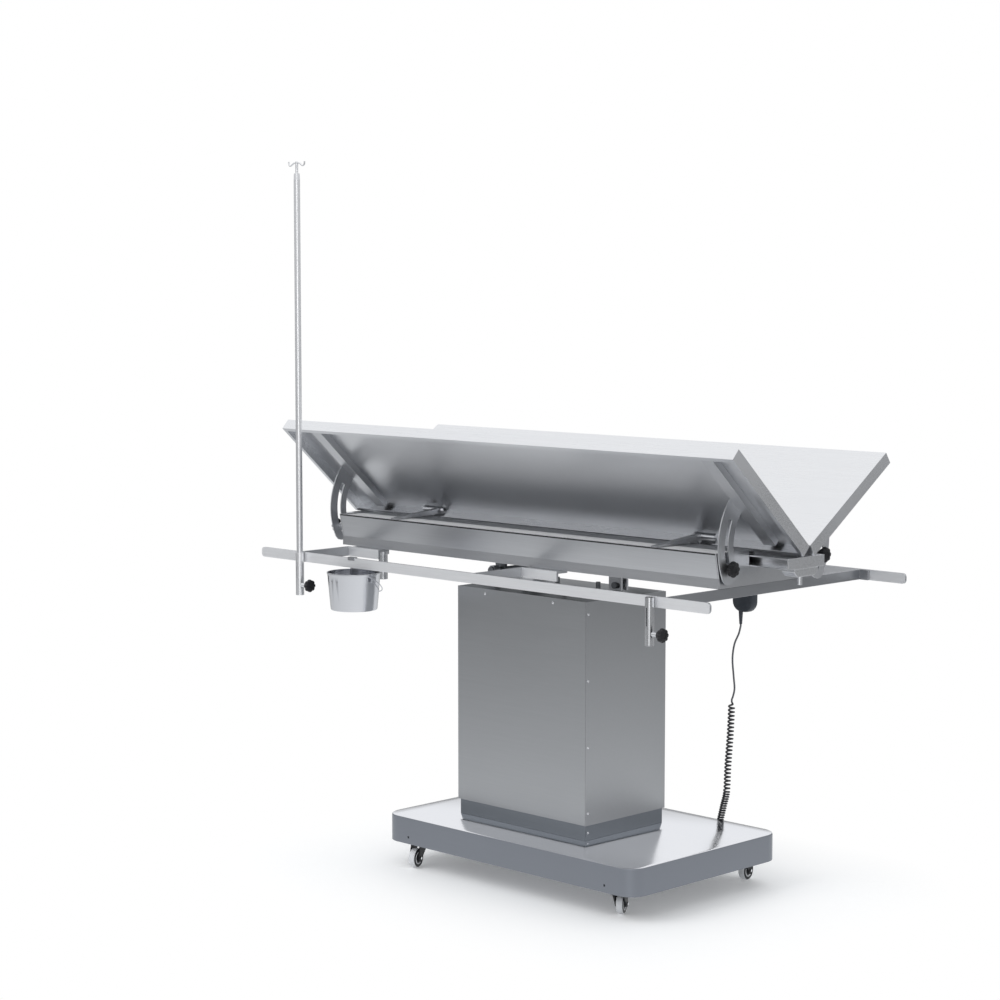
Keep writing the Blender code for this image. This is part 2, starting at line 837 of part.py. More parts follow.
node(
    "column_top",
    SHADE,
    [
        brick(
            left + SHEET + GAP,
            right - SHEET - GAP,
            front + SHEET + GAP,
            back - SHEET - GAP,
            lid_low,
            COLUMN_TOP,
        ),
        rod(
            "Z",
            (COLUMN_X, 0, (LIFT_TUBE_BOTTOM + lid_low + WELD) / 2),
            tube_outer,
            lid_low + WELD - LIFT_TUBE_BOTTOM,
            32,
        ),
        rod(
            "Z",
            (RAM_X, 0, (RAM_GUIDE_BOTTOM + lid_low + WELD) / 2),
            guide_outer,
            lid_low + WELD - RAM_GUIDE_BOTTOM,
            24,
        ),
        *studs,
    ],
    [
        rod("Z", (RAM_X, 0, COLUMN_TOP), RAM_RADIUS + RUN, 2 * (COLUMN_TOP - RAM_GUIDE_BOTTOM) + OVERRUN, 24),
        rod(
            "Z",
            (COLUMN_X, 0, LIFT_TUBE_BOTTOM),
            tube_outer - LIFT_WALL,
            2 * (lid_low - LIFT_TUBE_BOTTOM - LIFT_WALL),
            24,
        ),
    ],
)

# Tilting: two stands on the column carry a pivot shaft, and a ram pushes a slotted clevis

stand_top = PIVOT_Z + STAND_DEPTH / 2
stand_posts = [
    outline(
        [
            (PIVOT_X - STAND_DEPTH / 2, COLUMN_TOP + STAND_FOOT - WELD),
            (PIVOT_X + STAND_DEPTH / 2, COLUMN_TOP + STAND_FOOT - WELD),
            (PIVOT_X + STAND_DEPTH / 2, PIVOT_Z + STAND_DEPTH / 6),
            (PIVOT_X + STAND_DEPTH / 4, stand_top),
            (PIVOT_X - STAND_DEPTH / 4, stand_top),
            (PIVOT_X - STAND_DEPTH / 2, PIVOT_Z + STAND_DEPTH / 6),
        ],
        "Y",
        side * STAND_Y - STAND_WIDTH / 2,
        side * STAND_Y + STAND_WIDTH / 2,
    )
    for side in (-1, 1)
]
node(
    "tilt_stand",
    STEEL,
    [
        brick(
            PIVOT_X - STAND_DEPTH / 2 - STAND_SIDE,
            PIVOT_X + STAND_DEPTH / 2 + STAND_SIDE,
            -STAND_Y - STAND_WIDTH / 2 - STAND_SIDE,
            STAND_Y + STAND_WIDTH / 2 + STAND_SIDE,
            COLUMN_TOP + GAP,
            COLUMN_TOP + STAND_FOOT,
        ),
        *stand_posts,
    ],
    [rod("Y", (PIVOT_X, 0, PIVOT_Z), PIVOT_RADIUS + RUN / 2, 3 * STAND_Y, 24)],
)
shaft_end = STAND_Y + STAND_WIDTH / 2 + GAP
lug_top = CHASSIS_BOTTOM - GAP
node(
    "tilt_yoke",
    SHADE,
    [
        rod("Y", (PIVOT_X, 0, PIVOT_Z), PIVOT_RADIUS, 2 * (shaft_end + PIVOT_CAP_LENGTH / 2)),
        *[
            outline(
                [
                    (PIVOT_X - LUG_WIDTH / 2, lug_top),
                    (PIVOT_X - LUG_WIDTH / 2, lug_top - LUG_THICK),
                    (PIVOT_X - STAND_DEPTH / 2, PIVOT_Z - PIVOT_CAP),
                    (PIVOT_X + STAND_DEPTH / 2, PIVOT_Z - PIVOT_CAP),
                    (PIVOT_X + LUG_WIDTH / 2, lug_top - LUG_THICK),
                    (PIVOT_X + LUG_WIDTH / 2, lug_top),
                ],
                "Y",
                side * LUG_Y - LUG_THICK / 2,
                side * LUG_Y + LUG_THICK / 2,
            )
            for side in (-1, 1)
        ],
        *[
            rod(
                "Y",
                (PIVOT_X, side * (shaft_end + PIVOT_CAP_LENGTH / 2), PIVOT_Z),
                PIVOT_CAP,
                PIVOT_CAP_LENGTH,
                16,
            )
            for side in (-1, 1)
        ],
    ],
    origin=(PIVOT_X, 0, PIVOT_Z),
)
cheek_side = RAM_EYE_THICK / 2 + RUN
clevis_low = RAM_PIN_Z - CLEVIS_DROP
slot_half = RAM_PIN_RADIUS + SLOT_PLAY
slot = brick(
    RAM_X - SLOT_PLAY,
    RAM_X + SLOT_SLIDE,
    -2 * cheek_side - CLEVIS_CHEEK,
    2 * cheek_side + CLEVIS_CHEEK,
    RAM_PIN_Z - slot_half,
    RAM_PIN_Z + slot_half,
)
cheeks = [
    brick(
        RAM_X - CLEVIS_WIDTH / 2,
        RAM_X + CLEVIS_WIDTH / 2,
        min(side * cheek_side, side * (cheek_side + CLEVIS_CHEEK)),
        max(side * cheek_side, side * (cheek_side + CLEVIS_CHEEK)),
        clevis_low,
        lug_top - CLEVIS_PLATE / 2,
    )
    for side in (-1, 1)
]
node(
    "tilt_clevis",
    STEEL,
    [
        brick(
            RAM_X - CLEVIS_WIDTH / 2,
            RAM_X + CLEVIS_WIDTH / 2,
            -cheek_side - CLEVIS_CHEEK,
            cheek_side + CLEVIS_CHEEK,
            lug_top - CLEVIS_PLATE,
            lug_top,
        ),
        *cheeks,
    ],
    [
        slot,
        rod("Y", (RAM_X - SLOT_PLAY, 0, RAM_PIN_Z), slot_half, 6 * RAM_EYE_THICK, 20),
        rod("Y", (RAM_X + SLOT_SLIDE, 0, RAM_PIN_Z), slot_half, 6 * RAM_EYE_THICK, 20),
    ],
)
shoulder = RAM_PIN_Z - RAM_SHOULDER_DROP
pin_end = cheek_side + CLEVIS_CHEEK + RUN
node(
    "tilt_ram",
    SHADE,
    [
        rod("Z", (RAM_X, 0, (RAM_BOTTOM + shoulder) / 2), RAM_RADIUS, shoulder - RAM_BOTTOM, 20),
        brick(
            RAM_X - RAM_EYE_RADIUS * 0.7,
            RAM_X + RAM_EYE_RADIUS * 0.7,
            -RAM_EYE_THICK / 2,
            RAM_EYE_THICK / 2,
            shoulder - RAM_EYE_RADIUS,
            RAM_PIN_Z,
        ),
        rod("Y", (RAM_X, 0, RAM_PIN_Z), RAM_EYE_RADIUS, RAM_EYE_THICK, 16),
        rod("Y", (RAM_X, 0, RAM_PIN_Z), RAM_PIN_RADIUS, 2 * pin_end + RAM_PIN_HEAD / 2, 16),
        *[
            rod(
                "Y",
                (RAM_X, side * (pin_end + RAM_PIN_HEAD / 4), RAM_PIN_Z),
                RAM_PIN_HEAD,
                RAM_PIN_HEAD / 2,
                16,
            )
            for side in (-1, 1)
        ],
    ],
    origin=(RAM_X, 0, RAM_PIN_Z),
)

# Chassis: folded side walls and floor, two end plates with the clamp bosses, decks and centre beam

chassis_left = TOP_X - CHASSIS_LENGTH / 2
chassis_right = TOP_X + CHASSIS_LENGTH / 2
lean = (CHASSIS_HALF_TOP - CHASSIS_HALF_LOW) / (CHASSIS_TOP - CREASE_Z)
section = [
    (-CHASSIS_HALF_TOP, CHASSIS_TOP),
    (-CHASSIS_HALF_LOW, CREASE_Z),
    (-CHASSIS_HALF_LOW, CHASSIS_BOTTOM),
    (CHASSIS_HALF_LOW, CHASSIS_BOTTOM),
    (CHASSIS_HALF_LOW, CREASE_Z),
    (CHASSIS_HALF_TOP, CHASSIS_TOP),
]
inner = [
    (CHASSIS_HALF_TOP - CHASSIS_SHEET, CHASSIS_TOP),
    (CHASSIS_HALF_LOW - CHASSIS_SHEET, CREASE_Z),
    (CHASSIS_HALF_LOW - CHASSIS_SHEET, CHASSIS_BOTTOM + CHASSIS_SHEET),
    (-CHASSIS_HALF_LOW + CHASSIS_SHEET, CHASSIS_BOTTOM + CHASSIS_SHEET),
    (-CHASSIS_HALF_LOW + CHASSIS_SHEET, CREASE_Z),
    (-CHASSIS_HALF_TOP + CHASSIS_SHEET, CHASSIS_TOP),
]
node(
    "chassis_trough",
    STEEL,
    [outline(section + inner, "X", chassis_left + END_PLATE + GAP, chassis_right - END_PLATE - GAP)],
)
clamp_mid = (ARC_SLOT_OUTER + ARC_SLOT_INNER) / 2


def clamp_place(side):
    """The Y and Z of a clamp screw; side is -1 for the front wing and 1 for the rear one."""
    turn = math.radians(FRONT_CLAMP_DEG if side < 0 else REAR_CLAMP_DEG)
    return side * (HINGE_Y + clamp_mid * math.cos(turn)), HINGE_Z - clamp_mid * math.sin(turn)


notch_half = BEAM_HALF + GAP
notch_low = BEAM_TOP - BEAM_DEPTH - GAP
end_section = [
    *section,
    (notch_half, CHASSIS_TOP),
    (notch_half, notch_low),
    (-notch_half, notch_low),
    (-notch_half, CHASSIS_TOP),
]
for label, face, outward, front_boss, rear_boss in (
    ("left", chassis_left, -1, FAR_BOSS, NEAR_BOSS),
    ("right", chassis_right, 1, NEAR_BOSS, FAR_BOSS),
):
    inside = face - outward * END_PLATE
    low, high = min(face, inside), max(face, inside)
    bosses = []
    bores = []
    for side, length in ((-1, front_boss), (1, rear_boss)):
        tip = face + outward * (length - GAP)
        root = face - outward * WELD
        clamp_y, clamp_z = clamp_place(side)
        bosses.append(rod("X", ((tip + root) / 2, clamp_y, clamp_z), BOSS_RADIUS, abs(tip - root)))
        bores.append(
            rod(
                "X",
                (face, clamp_y, clamp_z),
                KNOB_SHANK + GAP,
                2 * (length + END_PLATE + OVERRUN),
                12,
            )
        )
    node(
        f"chassis_end_{label}",
        STEEL,
        [outline(end_section, "X", low, high), *bosses],
        bores,
    )
for label, side in (("front", -1), ("rear", 1)):
    deck_low = DECK_TOP - DECK_SHEET
    outer = CHASSIS_HALF_TOP - CHASSIS_SHEET - lean * (CHASSIS_TOP - deck_low) - GAP
    inner_edge = BEAM_HALF - CHANNEL_DEPTH
    inner_top = BEAM_TOP + GAP
    deck = [
        (side * outer, deck_low),
        (side * outer, DECK_TOP),
        (side * inner_edge, DECK_TOP),
        (side * inner_edge, inner_top),
        (side * (inner_edge + DECK_SHEET), inner_top),
        (side * (inner_edge + DECK_SHEET), deck_low),
    ]
    node(
        f"deck_{label}",
        STEEL,
        [outline(deck, "X", chassis_left + END_PLATE + 2 * GAP, chassis_right - END_PLATE - 2 * GAP)],
    )

beam_low = BEAM_TOP - BEAM_DEPTH
web = BEAM_HALF - CHANNEL_DEPTH
beam_section = [
    (-BEAM_HALF, BEAM_TOP),
    (-BEAM_HALF, BEAM_TOP - BEAM_WALL),
    (-web - BEAM_WALL, BEAM_TOP - BEAM_WALL),
    (-web - BEAM_WALL, beam_low + BEAM_WALL),
    (-BEAM_HALF, beam_low + BEAM_WALL),
    (-BEAM_HALF, beam_low),
    (BEAM_HALF, beam_low),
    (BEAM_HALF, beam_low + BEAM_WALL),
    (web + BEAM_WALL, beam_low + BEAM_WALL),
    (web + BEAM_WALL, BEAM_TOP - BEAM_WALL),
    (BEAM_HALF, BEAM_TOP - BEAM_WALL),
    (BEAM_HALF, BEAM_TOP),
    (web, BEAM_TOP),
    (web, beam_low + GUTTER_FLOOR),
    (-web, beam_low + GUTTER_FLOOR),
    (-web, BEAM_TOP),
]
beam_left = TOP_X - WING_LENGTH / 2 + BEAM_LEFT_INSET
beam_right = TOP_X + WING_LENGTH / 2 - BEAM_RIGHT_INSET
spout_x = beam_left + SPOUT_INSET
node(
    "centre_beam",
    BRIGHT,
    [
        outline(beam_section, "X", beam_left + BEAM_WALL / 2, beam_right - BEAM_WALL / 2),
        brick(beam_left, beam_left + BEAM_WALL, -BEAM_HALF, BEAM_HALF, beam_low, BEAM_TOP),
        brick(beam_right - BEAM_WALL, beam_right, -BEAM_HALF, BEAM_HALF, beam_low, BEAM_TOP),
    ],
    [rod("Z", (spout_x, 0, beam_low), SPOUT_NECK, 4 * GUTTER_FLOOR, 24)],
)
node(
    "drain_spout",
    BRIGHT,
    [
        turned(
            [
                (SPOUT_RADIUS, beam_low - GAP),
                (SPOUT_RADIUS, SPOUT_COLLAR_BOTTOM),
                (SPOUT_NECK + SPOUT_WALL, SPOUT_COLLAR_BOTTOM),
                (SPOUT_NECK + SPOUT_WALL, SPOUT_BOTTOM),
                (SPOUT_NECK, SPOUT_BOTTOM),
                (SPOUT_NECK, beam_low - GAP),
            ],
            Matrix.Translation((spout_x, 0, 0)),
            20,
        )
    ],
)
block_x = beam_right - BLOCK_LENGTH / 2
block_top = beam_low - GAP
block_low = block_top - BLOCK_HEIGHT
block_half = BLOCK_WIDTH / 2
block_shape = [
    (-block_half, block_top),
    (-block_half, block_low + BLOCK_CHAMFER),
    (BLOCK_CHAMFER - block_half, block_low),
    (block_half - BLOCK_CHAMFER, block_low),
    (block_half, block_low + BLOCK_CHAMFER),
    (block_half, block_top),
]
node(
    "beam_block",
    STEEL,
    [
        outline(block_shape, "X", beam_right - BLOCK_LENGTH, beam_right),
        rod("Z", (block_x, 0, block_low - BLOCK_PEG / 2 + WELD), BLOCK_PEG_RADIUS, BLOCK_PEG),
    ],
)

# Hinge stands: one flat bar each, from deck to deck under the wings, with an eye for either hinge pin

ball_out = WING_LENGTH / 2 - HINGE_INSET
eye_near = ball_out + HINGE_BALL + GAP
eye_far = eye_near + HINGE_BAR_WIDTH
pin_out = ball_out + HINGE_LENGTH
bar_tip = CHASSIS_HALF_TOP - HINGE_BAR_INSET
bar_low = DECK_TOP + GAP
saddle_top = HINGE_Z - HINGE_SADDLE_DROP
saddle_low = saddle_top - HINGE_SADDLE_DEPTH
half_bar = [(HINGE_Y - HINGE_EYE, saddle_top)]
for turn_deg in HINGE_EYE_TURNS_DEG:
    turn_at = math.radians(turn_deg)
    half_bar.append(
        (HINGE_Y + HINGE_EYE * math.cos(turn_at), HINGE_Z + HINGE_EYE * math.sin(turn_at))
    )
half_bar += [
    (bar_tip, bar_low + HINGE_BAR_THICK),
    (bar_tip, bar_low),
    (HINGE_Y + HINGE_EYE, saddle_low),
]
bar_shape = half_bar + [(-y, z) for y, z in reversed(half_bar)]
for label, outward in (("left", -1), ("right", 1)):
    near = TOP_X + outward * eye_near
    far = TOP_X + outward * eye_far
    node(
        f"hinge_stand_{label}",
        STEEL,
        [
            outline(
                bar_shape,
                "X",
                min(near, far),
                max(near, far),
                [ring(side * HINGE_Y, HINGE_Z, HINGE_NECK + GAP, 16) for side in (-1, 1)],
            )
        ],
    )

# Wings, drawn flat with the hinge axis at Y = 0, Z = 0 and the wing towards -Y, then raised


def wing_solids(side):
    """The pressed panel: a top sheet, a rim folded down all round and a lip folded in."""
    bm = bmesh.new()
    bmesh.ops.create_cube(bm, size=1.0)
    centre = (TOP_X, side * (WING_START + WING_WIDTH / 2), WING_RISE - WING_RIM / 2)
    scale = Matrix.Diagonal((WING_LENGTH, WING_WIDTH, WING_RIM, 1.0))
    bmesh.ops.transform(bm, matrix=Matrix.Translation(centre) @ scale, verts=bm.verts)
    bottom = [f for f in bm.faces if f.normal.z < -0.9]
    bmesh.ops.inset_region(bm, faces=bottom, thickness=WING_LIP, use_even_offset=True)
    bmesh.ops.delete(bm, geom=bottom, context="FACES")
    mesh = bpy.data.meshes.new("pressing")
    bm.to_mesh(mesh)
    bm.free()
    maker = bpy.data.objects.new("pressing", mesh)
    shell = maker.modifiers.new("sheet", "SOLIDIFY")
    shell.thickness = WING_SHEET
    shell.offset = -1
    shell.use_even_offset = True
    panel = as_mesh(maker, Matrix.Identity(4), GAP / 10)
    joined = []
    cuts = []
    under = WING_RISE - WING_SHEET - GAP
    for outward in (-1, 1):
        inner = TOP_X + outward * (ball_out - HINGE_BALL - WING_NOTCH_PLAY)
        outer = TOP_X + outward * pin_out
        cuts.append(
            brick(
                min(inner, outer),
                max(inner, outer),
                side * (WING_START - WING_NOTCH_PLAY),
                side * (WING_START + WING_LIP + WING_NOTCH_PLAY),
                -2 * WING_RIM,
                under,
            )
        )
        lug_start = outer - outward * WELD
        lug_stop = outer + outward * LUG_SIDE
        joined.append(
            brick(
                min(lug_start, lug_stop),
                max(lug_start, lug_stop),
                side * (WING_START + WELD),
                side * LUG_REACH,
                -LUG_REACH,
                WING_RISE - WING_SHEET / 2,
            )
        )
        sleeve_start = TOP_X + outward * (eye_far + GAP)
        sleeve_stop = outer + outward * LUG_SIDE / 2
        joined.append(
            rod(
                "X",
                ((sleeve_start + sleeve_stop) / 2, 0, 0),
                HINGE_SLEEVE,
                abs(sleeve_stop - sleeve_start),
                14,
            )
        )
        ball_x = TOP_X + outward * ball_out
        neck_stop = sleeve_start + outward * WELD
        joined.append(rod("X", ((ball_x + neck_stop) / 2, 0, 0), HINGE_NECK, abs(neck_stop - ball_x), 12))
        joined.append(ball((ball_x, 0, 0), HINGE_BALL))
    return panel, joined, cuts


for label, side, angle_deg in (("front", -1, FRONT_ANGLE_DEG), ("rear", 1, REAR_ANGLE_DEG)):
    hinge = Vector((0, side * HINGE_Y, HINGE_Z))
    shift = Matrix.Translation(hinge)
    turn = (side * math.radians(angle_deg), 0, 0)
    origin = Vector((TOP_X, side * HINGE_Y, HINGE_Z))
    panel, joined, cuts = wing_solids(side)
    wing = node(
        f"wing_{label}",
        BRIGHT,
        [moved(panel, shift)],
        [moved(mesh, shift) for mesh in cuts],
        origin=origin,
        turn=turn,
    )
    for number, mesh in enumerate(joined):
        tool = link(f"wing_{label}_join_{number}", moved(mesh, shift), TOOLS, origin, Euler(turn))
        tool.hide_render = True
        tool.display_type = "WIRE"
        step = wing.modifiers.new(f"join_{number}", "BOOLEAN")
        step.operation = "UNION"
        step.solver = "EXACT"
        step.object = tool
    arc_near = {-1: (NEAR_BOSS, FAR_BOSS), 1: (FAR_BOSS, NEAR_BOSS)}[side]
    right_plane = chassis_right + arc_near[0]
    left_plane = chassis_left - arc_near[1] - ARC_THICK
    clamp_deg = FRONT_CLAMP_DEG if side < 0 else REAR_CLAMP_DEG
    arc_end_deg = clamp_deg + ARC_SWING_DEG
    slot_start_deg = clamp_deg - SLOT_LEAD_DEG
    slot_end_deg = clamp_deg + SLOT_SWING_DEG
    for end_label, plane, rib_side in (
        ("right", right_plane, -side),
        ("left", left_plane, -side),
    ):
        outer_ring = []
        steps = 14
        mid = (ARC_OUTER + ARC_INNER) / 2
        half_band = (ARC_OUTER - ARC_INNER) / 2
        for n in range(steps + 1):
            turn_at = math.radians(ARC_START_DEG + (arc_end_deg - ARC_START_DEG) * n / steps)
            outer_ring.append((side * ARC_OUTER * math.cos(turn_at), -ARC_OUTER * math.sin(turn_at)))
        last = math.radians(arc_end_deg)
        for n in range(1, 6):
            swing = math.pi * n / 6
            along = half_band * math.sin(swing) * 0.8
            radius = mid + half_band * math.cos(swing)
            outer_ring.append(
                (
                    side * (radius * math.cos(last) - along * math.sin(last)),
                    -(radius * math.sin(last) + along * math.cos(last)),
                )
            )
        for n in range(steps, -1, -1):
            turn_at = math.radians(ARC_START_DEG + (arc_end_deg - ARC_START_DEG) * n / steps)
            outer_ring.append((side * ARC_INNER * math.cos(turn_at), -ARC_INNER * math.sin(turn_at)))
        slot_ring = []
        for n in range(steps + 1):
            turn_at = math.radians(slot_start_deg + (slot_end_deg - slot_start_deg) * n / steps)
            slot_ring.append(
                (side * ARC_SLOT_OUTER * math.cos(turn_at), -ARC_SLOT_OUTER * math.sin(turn_at))
            )
        for n in range(steps, -1, -1):
            turn_at = math.radians(slot_start_deg + (slot_end_deg - slot_start_deg) * n / steps)
            slot_ring.append(
                (side * ARC_SLOT_INNER * math.cos(turn_at), -ARC_SLOT_INNER * math.sin(turn_at))
            )
        arc = outline(outer_ring, "X", plane, plane + ARC_THICK, [slot_ring])
        rib_near = plane + ARC_THICK - WELD if rib_side > 0 else plane + WELD
        rib_far = rib_near + rib_side * RIB_WIDTH
        rib_top = WING_RISE - WING_SHEET - GAP
        rib = brick(
            min(rib_near, rib_far),
            max(rib_near, rib_far),
            side * RIB_START,
            side * (WING_START + WING_WIDTH - WING_SHEET - GAP),
            WING_RISE - RIB_DEPTH,
            rib_top,
        )
        trough = brick(
            min(rib_near, rib_far) + ARC_THICK,
            max(rib_near, rib_far) - ARC_THICK,
            side * (RIB_START - OVERRUN),
            side * (WING_START + WING_WIDTH),
            WING_RISE - RIB_DEPTH + RIB_WALL,
            WING_RISE,
        )
        node(
            f"rib_{label}_{end_label}",
            STEEL,
            [moved(arc, shift), moved(rib, shift)],
            [moved(trough, shift)],
            origin=origin,
            turn=turn,
        )


def knob(name, centre, axis_sign, radius, shank_length):
    """A star knob on a screw that lies along X, its head away from the table's middle."""
    count = KNOB_LOBES * 4
    star = []
    for n in range(count):
        angle = math.tau * n / count
        wave = radius * (1 - KNOB_DIP_SHARE * (1 - math.cos(KNOB_LOBES * angle)) / 2)
        star.append((wave * math.cos(angle), wave * math.sin(angle)))
    face = Vector(centre)
    head_near = face.x + axis_sign * KNOB_NECK_LENGTH
    head_far = head_near + axis_sign * KNOB_THICK
    head = outline(
        [(face.y + u, face.z + v) for u, v in star],
        "X",
        min(head_near, head_far),
        max(head_near, head_far),
    )
    neck_end = head_near + axis_sign * WELD
    neck = rod(
        "X",
        ((face.x + neck_end) / 2, face.y, face.z),
        KNOB_NECK,
        abs(neck_end - face.x),
        20,
    )
    shank_near = face.x - axis_sign * shank_length
    shank_far = face.x + axis_sign * WELD
    shank = rod(
        "X",
        ((shank_near + shank_far) / 2, face.y, face.z),
        KNOB_SHANK,
        abs(shank_far - shank_near),
        14,
    )
    return node(name, BLACK, [head, neck, shank], origin=centre)


for label, face, outward, front_boss, rear_boss in (
    ("left", chassis_left, -1, FAR_BOSS, NEAR_BOSS),
    ("right", chassis_right, 1, NEAR_BOSS, FAR_BOSS),
):
    for side_label, side, length in (("front", -1, front_boss), ("rear", 1, rear_boss)):
        seat = face + outward * (length + ARC_THICK + GAP)
        knob(
            f"clamp_knob_{side_label}_{label}",
            (seat, *clamp_place(side)),
            outward,
            KNOB_RADIUS,
            length + ARC_THICK + END_PLATE,
        )

# Rails: flat bars on edge round the table, with arms to the chassis

rail_low = RAIL_TOP - RAIL_HEIGHT


def round_corners(low_u, high_u, low_v, high_v, low_radius, high_radius, steps):
    """A rectangle's outline; its upper corners have one radius and its lower ones another."""
    points = []
    for su, sv, radius, first_deg in (
        (1, 1, high_radius, 0),
        (-1, 1, high_radius, 90),
        (-1, -1, low_radius, 180),
        (1, -1, low_radius, 270),
    ):
        corner_u = high_u - radius if su > 0 else low_u + radius
        corner_v = high_v - radius if sv > 0 else low_v + radius
        for n in range(steps + 1):
            turn_at = math.radians(first_deg + 90 * n / steps)
            points.append((corner_u + radius * math.cos(turn_at), corner_v + radius * math.sin(turn_at)))
    return points


arm_gap = CHASSIS_BOTTOM - GAP
for label, side in (("front", -1), ("rear", 1)):
    inner_face = RAIL_Y - RAIL_THICK if side < 0 else RAIL_Y
    outer_face = RAIL_Y if side < 0 else RAIL_Y + RAIL_THICK
    bar = round_corners(RAIL_LEFT, RAIL_RIGHT, rail_low, RAIL_TOP, RAIL_CORNER, RAIL_CORNER, 4)
    bars = [outline(bar, "Y", side * inner_face, side * outer_face)]
    for place in ARM_PLACES:
        path = [
            (place - ARM_THICK / 2, side * (inner_face + WELD)),
            (place - ARM_THICK / 2, side * (ARM_BEND_Y - ARM_THICK)),
            (place + ARM_LEG, side * (ARM_BEND_Y - ARM_THICK)),
            (place + ARM_LEG, side * ARM_BEND_Y),
            (place + ARM_THICK / 2, side * ARM_BEND_Y),
            (place + ARM_THICK / 2, side * (inner_face + WELD)),
        ]
        bars.append(outline(path, "Z", rail_low, RAIL_TOP - WELD))
        foot = brick(
            place + 2 * ARM_THICK,
            place + ARM_LEG,
            side * (ARM_BEND_Y - WELD),
            side * (CHASSIS_HALF_LOW - 3 * ARM_THICK),
            arm_gap - 3 * CHASSIS_SHEET,
            arm_gap,
        )
        bars.append(foot)
    node(f"rail_{label}", STEEL, bars)

turn_out = CROSSBAR_X + CROSSBAR_THICK
cross_front = RAIL_Y - RAIL_THICK - GAP
cross_rear = RAIL_Y - GAP
bar_path = [
    (CROSSBAR_X, -cross_front + CROSSBAR_THICK),
    (CROSSBAR_X, cross_rear - CROSSBAR_THICK),
    (CROSSBAR_X + CROSSBAR_THICK / 2, cross_rear),
    (CROSSBAR_X + CROSSBAR_TURN, cross_rear),
    (CROSSBAR_X + CROSSBAR_TURN, cross_rear - CROSSBAR_THICK),
    (turn_out, cross_rear - CROSSBAR_THICK),
    (turn_out, -cross_front + CROSSBAR_THICK),
    (CROSSBAR_X + CROSSBAR_TURN, -cross_front + CROSSBAR_THICK),
    (CROSSBAR_X + CROSSBAR_TURN, -cross_front),
    (CROSSBAR_X + CROSSBAR_THICK / 2, -cross_front),
]
node("rail_crossbar", STEEL, [outline(bar_path, "Z", rail_low, CHASSIS_BOTTOM - GAP)])

# Sockets on the front rail, their knobs, and the drip pole

socket_y = -RAIL_Y - GAP - SOCKET_RADIUS
for label, place in (("pole", POLE_SOCKET_X), ("spare", SPARE_SOCKET_X)):
    mid_z = (SOCKET_TOP + SOCKET_BOTTOM) / 2
    boss_end = place + SOCKET_BOSS_LENGTH
    node(
        f"socket_{label}",
        STEEL,
        [
            rod("Z", (place, socket_y, mid_z), SOCKET_RADIUS, SOCKET_TOP - SOCKET_BOTTOM, 20),
            rod(
                "X",
                ((place + boss_end) / 2, socket_y, SOCKET_KNOB_Z),
                SOCKET_BOSS,
                boss_end - place,
                16,
            ),
        ],
        [
            rod(
                "Z",
                (place, socket_y, mid_z + SOCKET_FLOOR),
                SOCKET_BORE,
                SOCKET_TOP - SOCKET_BOTTOM,
                20,
            ),
            rod("X", (boss_end, socket_y, SOCKET_KNOB_Z), KNOB_SHANK + GAP, 2 * SOCKET_BOSS_LENGTH, 14),
            brick(
                place - SOCKET_SLIT / 2,
                place + SOCKET_SLIT / 2,
                socket_y - SOCKET_RADIUS - OVERRUN,
                socket_y - SOCKET_BORE + SOCKET_FLOOR,
                SOCKET_SLIT_BOTTOM,
                SOCKET_SLIT_TOP,
            ),
        ],
    )
    knob(
        f"socket_knob_{label}",
        (boss_end + GAP, socket_y, SOCKET_KNOB_Z),
        1,
        SMALL_KNOB_RADIUS,
        SOCKET_BOSS_LENGTH - SOCKET_BORE - 2 * GAP,
    )

pole_low = SOCKET_BOTTOM + SOCKET_FLOOR + GAP
pole_place = Matrix.Translation((POLE_SOCKET_X, socket_y, 0))
pole_top_radius = STEM_RADIUS + GAP + (POLE_RADIUS - POLE_BORE)
node(
    "pole_tube",
    BRIGHT,
    [
        turned(
            [
                (pole_top_radius, POLE_TOP),
                (POLE_RADIUS, POLE_TOP - POLE_SHOULDER),
                (POLE_RADIUS, pole_low),
                (POLE_BORE, pole_low),
                (POLE_BORE, POLE_TOP - POLE_SHOULDER),
                (STEM_RADIUS + GAP, POLE_TOP - POLE_SHOULDER / 2),
                (STEM_RADIUS + GAP, POLE_TOP),
            ],
            pole_place,
            18,
        )
    ],
    origin=(POLE_SOCKET_X, socket_y, pole_low),
)
hook_z = STEM_TOP - HOOK_RADIUS
hooks = []
for side in (-1, 1):
    at = POLE_SOCKET_X
    route = smooth_route(
        [
            (at, socket_y, hook_z),
            (at + side * HOOK_REACH * 0.45, socket_y, hook_z - HOOK_DROP * 0.25),
            (at + side * HOOK_REACH * 0.85, socket_y, hook_z - HOOK_DROP),
            (at + side * HOOK_REACH * 1.1, socket_y, hook_z - HOOK_DROP * 0.7),
            (at + side * HOOK_REACH * 1.15, socket_y, hook_z + HOOK_RISE * 0.4),
        ],
        9,
    )
    hooks.append(tube(route, HOOK_RADIUS, 1))
node(
    "pole_stem",
    BRIGHT,
    [
        rod(
            "Z",
            (POLE_SOCKET_X, socket_y, (STEM_BOTTOM + STEM_TOP) / 2),
            STEM_RADIUS,
            STEM_TOP - STEM_BOTTOM,
            16,
        ),
        rod(
            "Z",
            (POLE_SOCKET_X, socket_y, STEM_BOTTOM),
            POLE_BORE - GAP,
            2 * POLE_RADIUS,
            16,
        ),
        *hooks,
    ],
    origin=(POLE_SOCKET_X, socket_y, STEM_TOP),
)

# Pail under the front rail: a strap over the rail holds it by a strip across its mouth

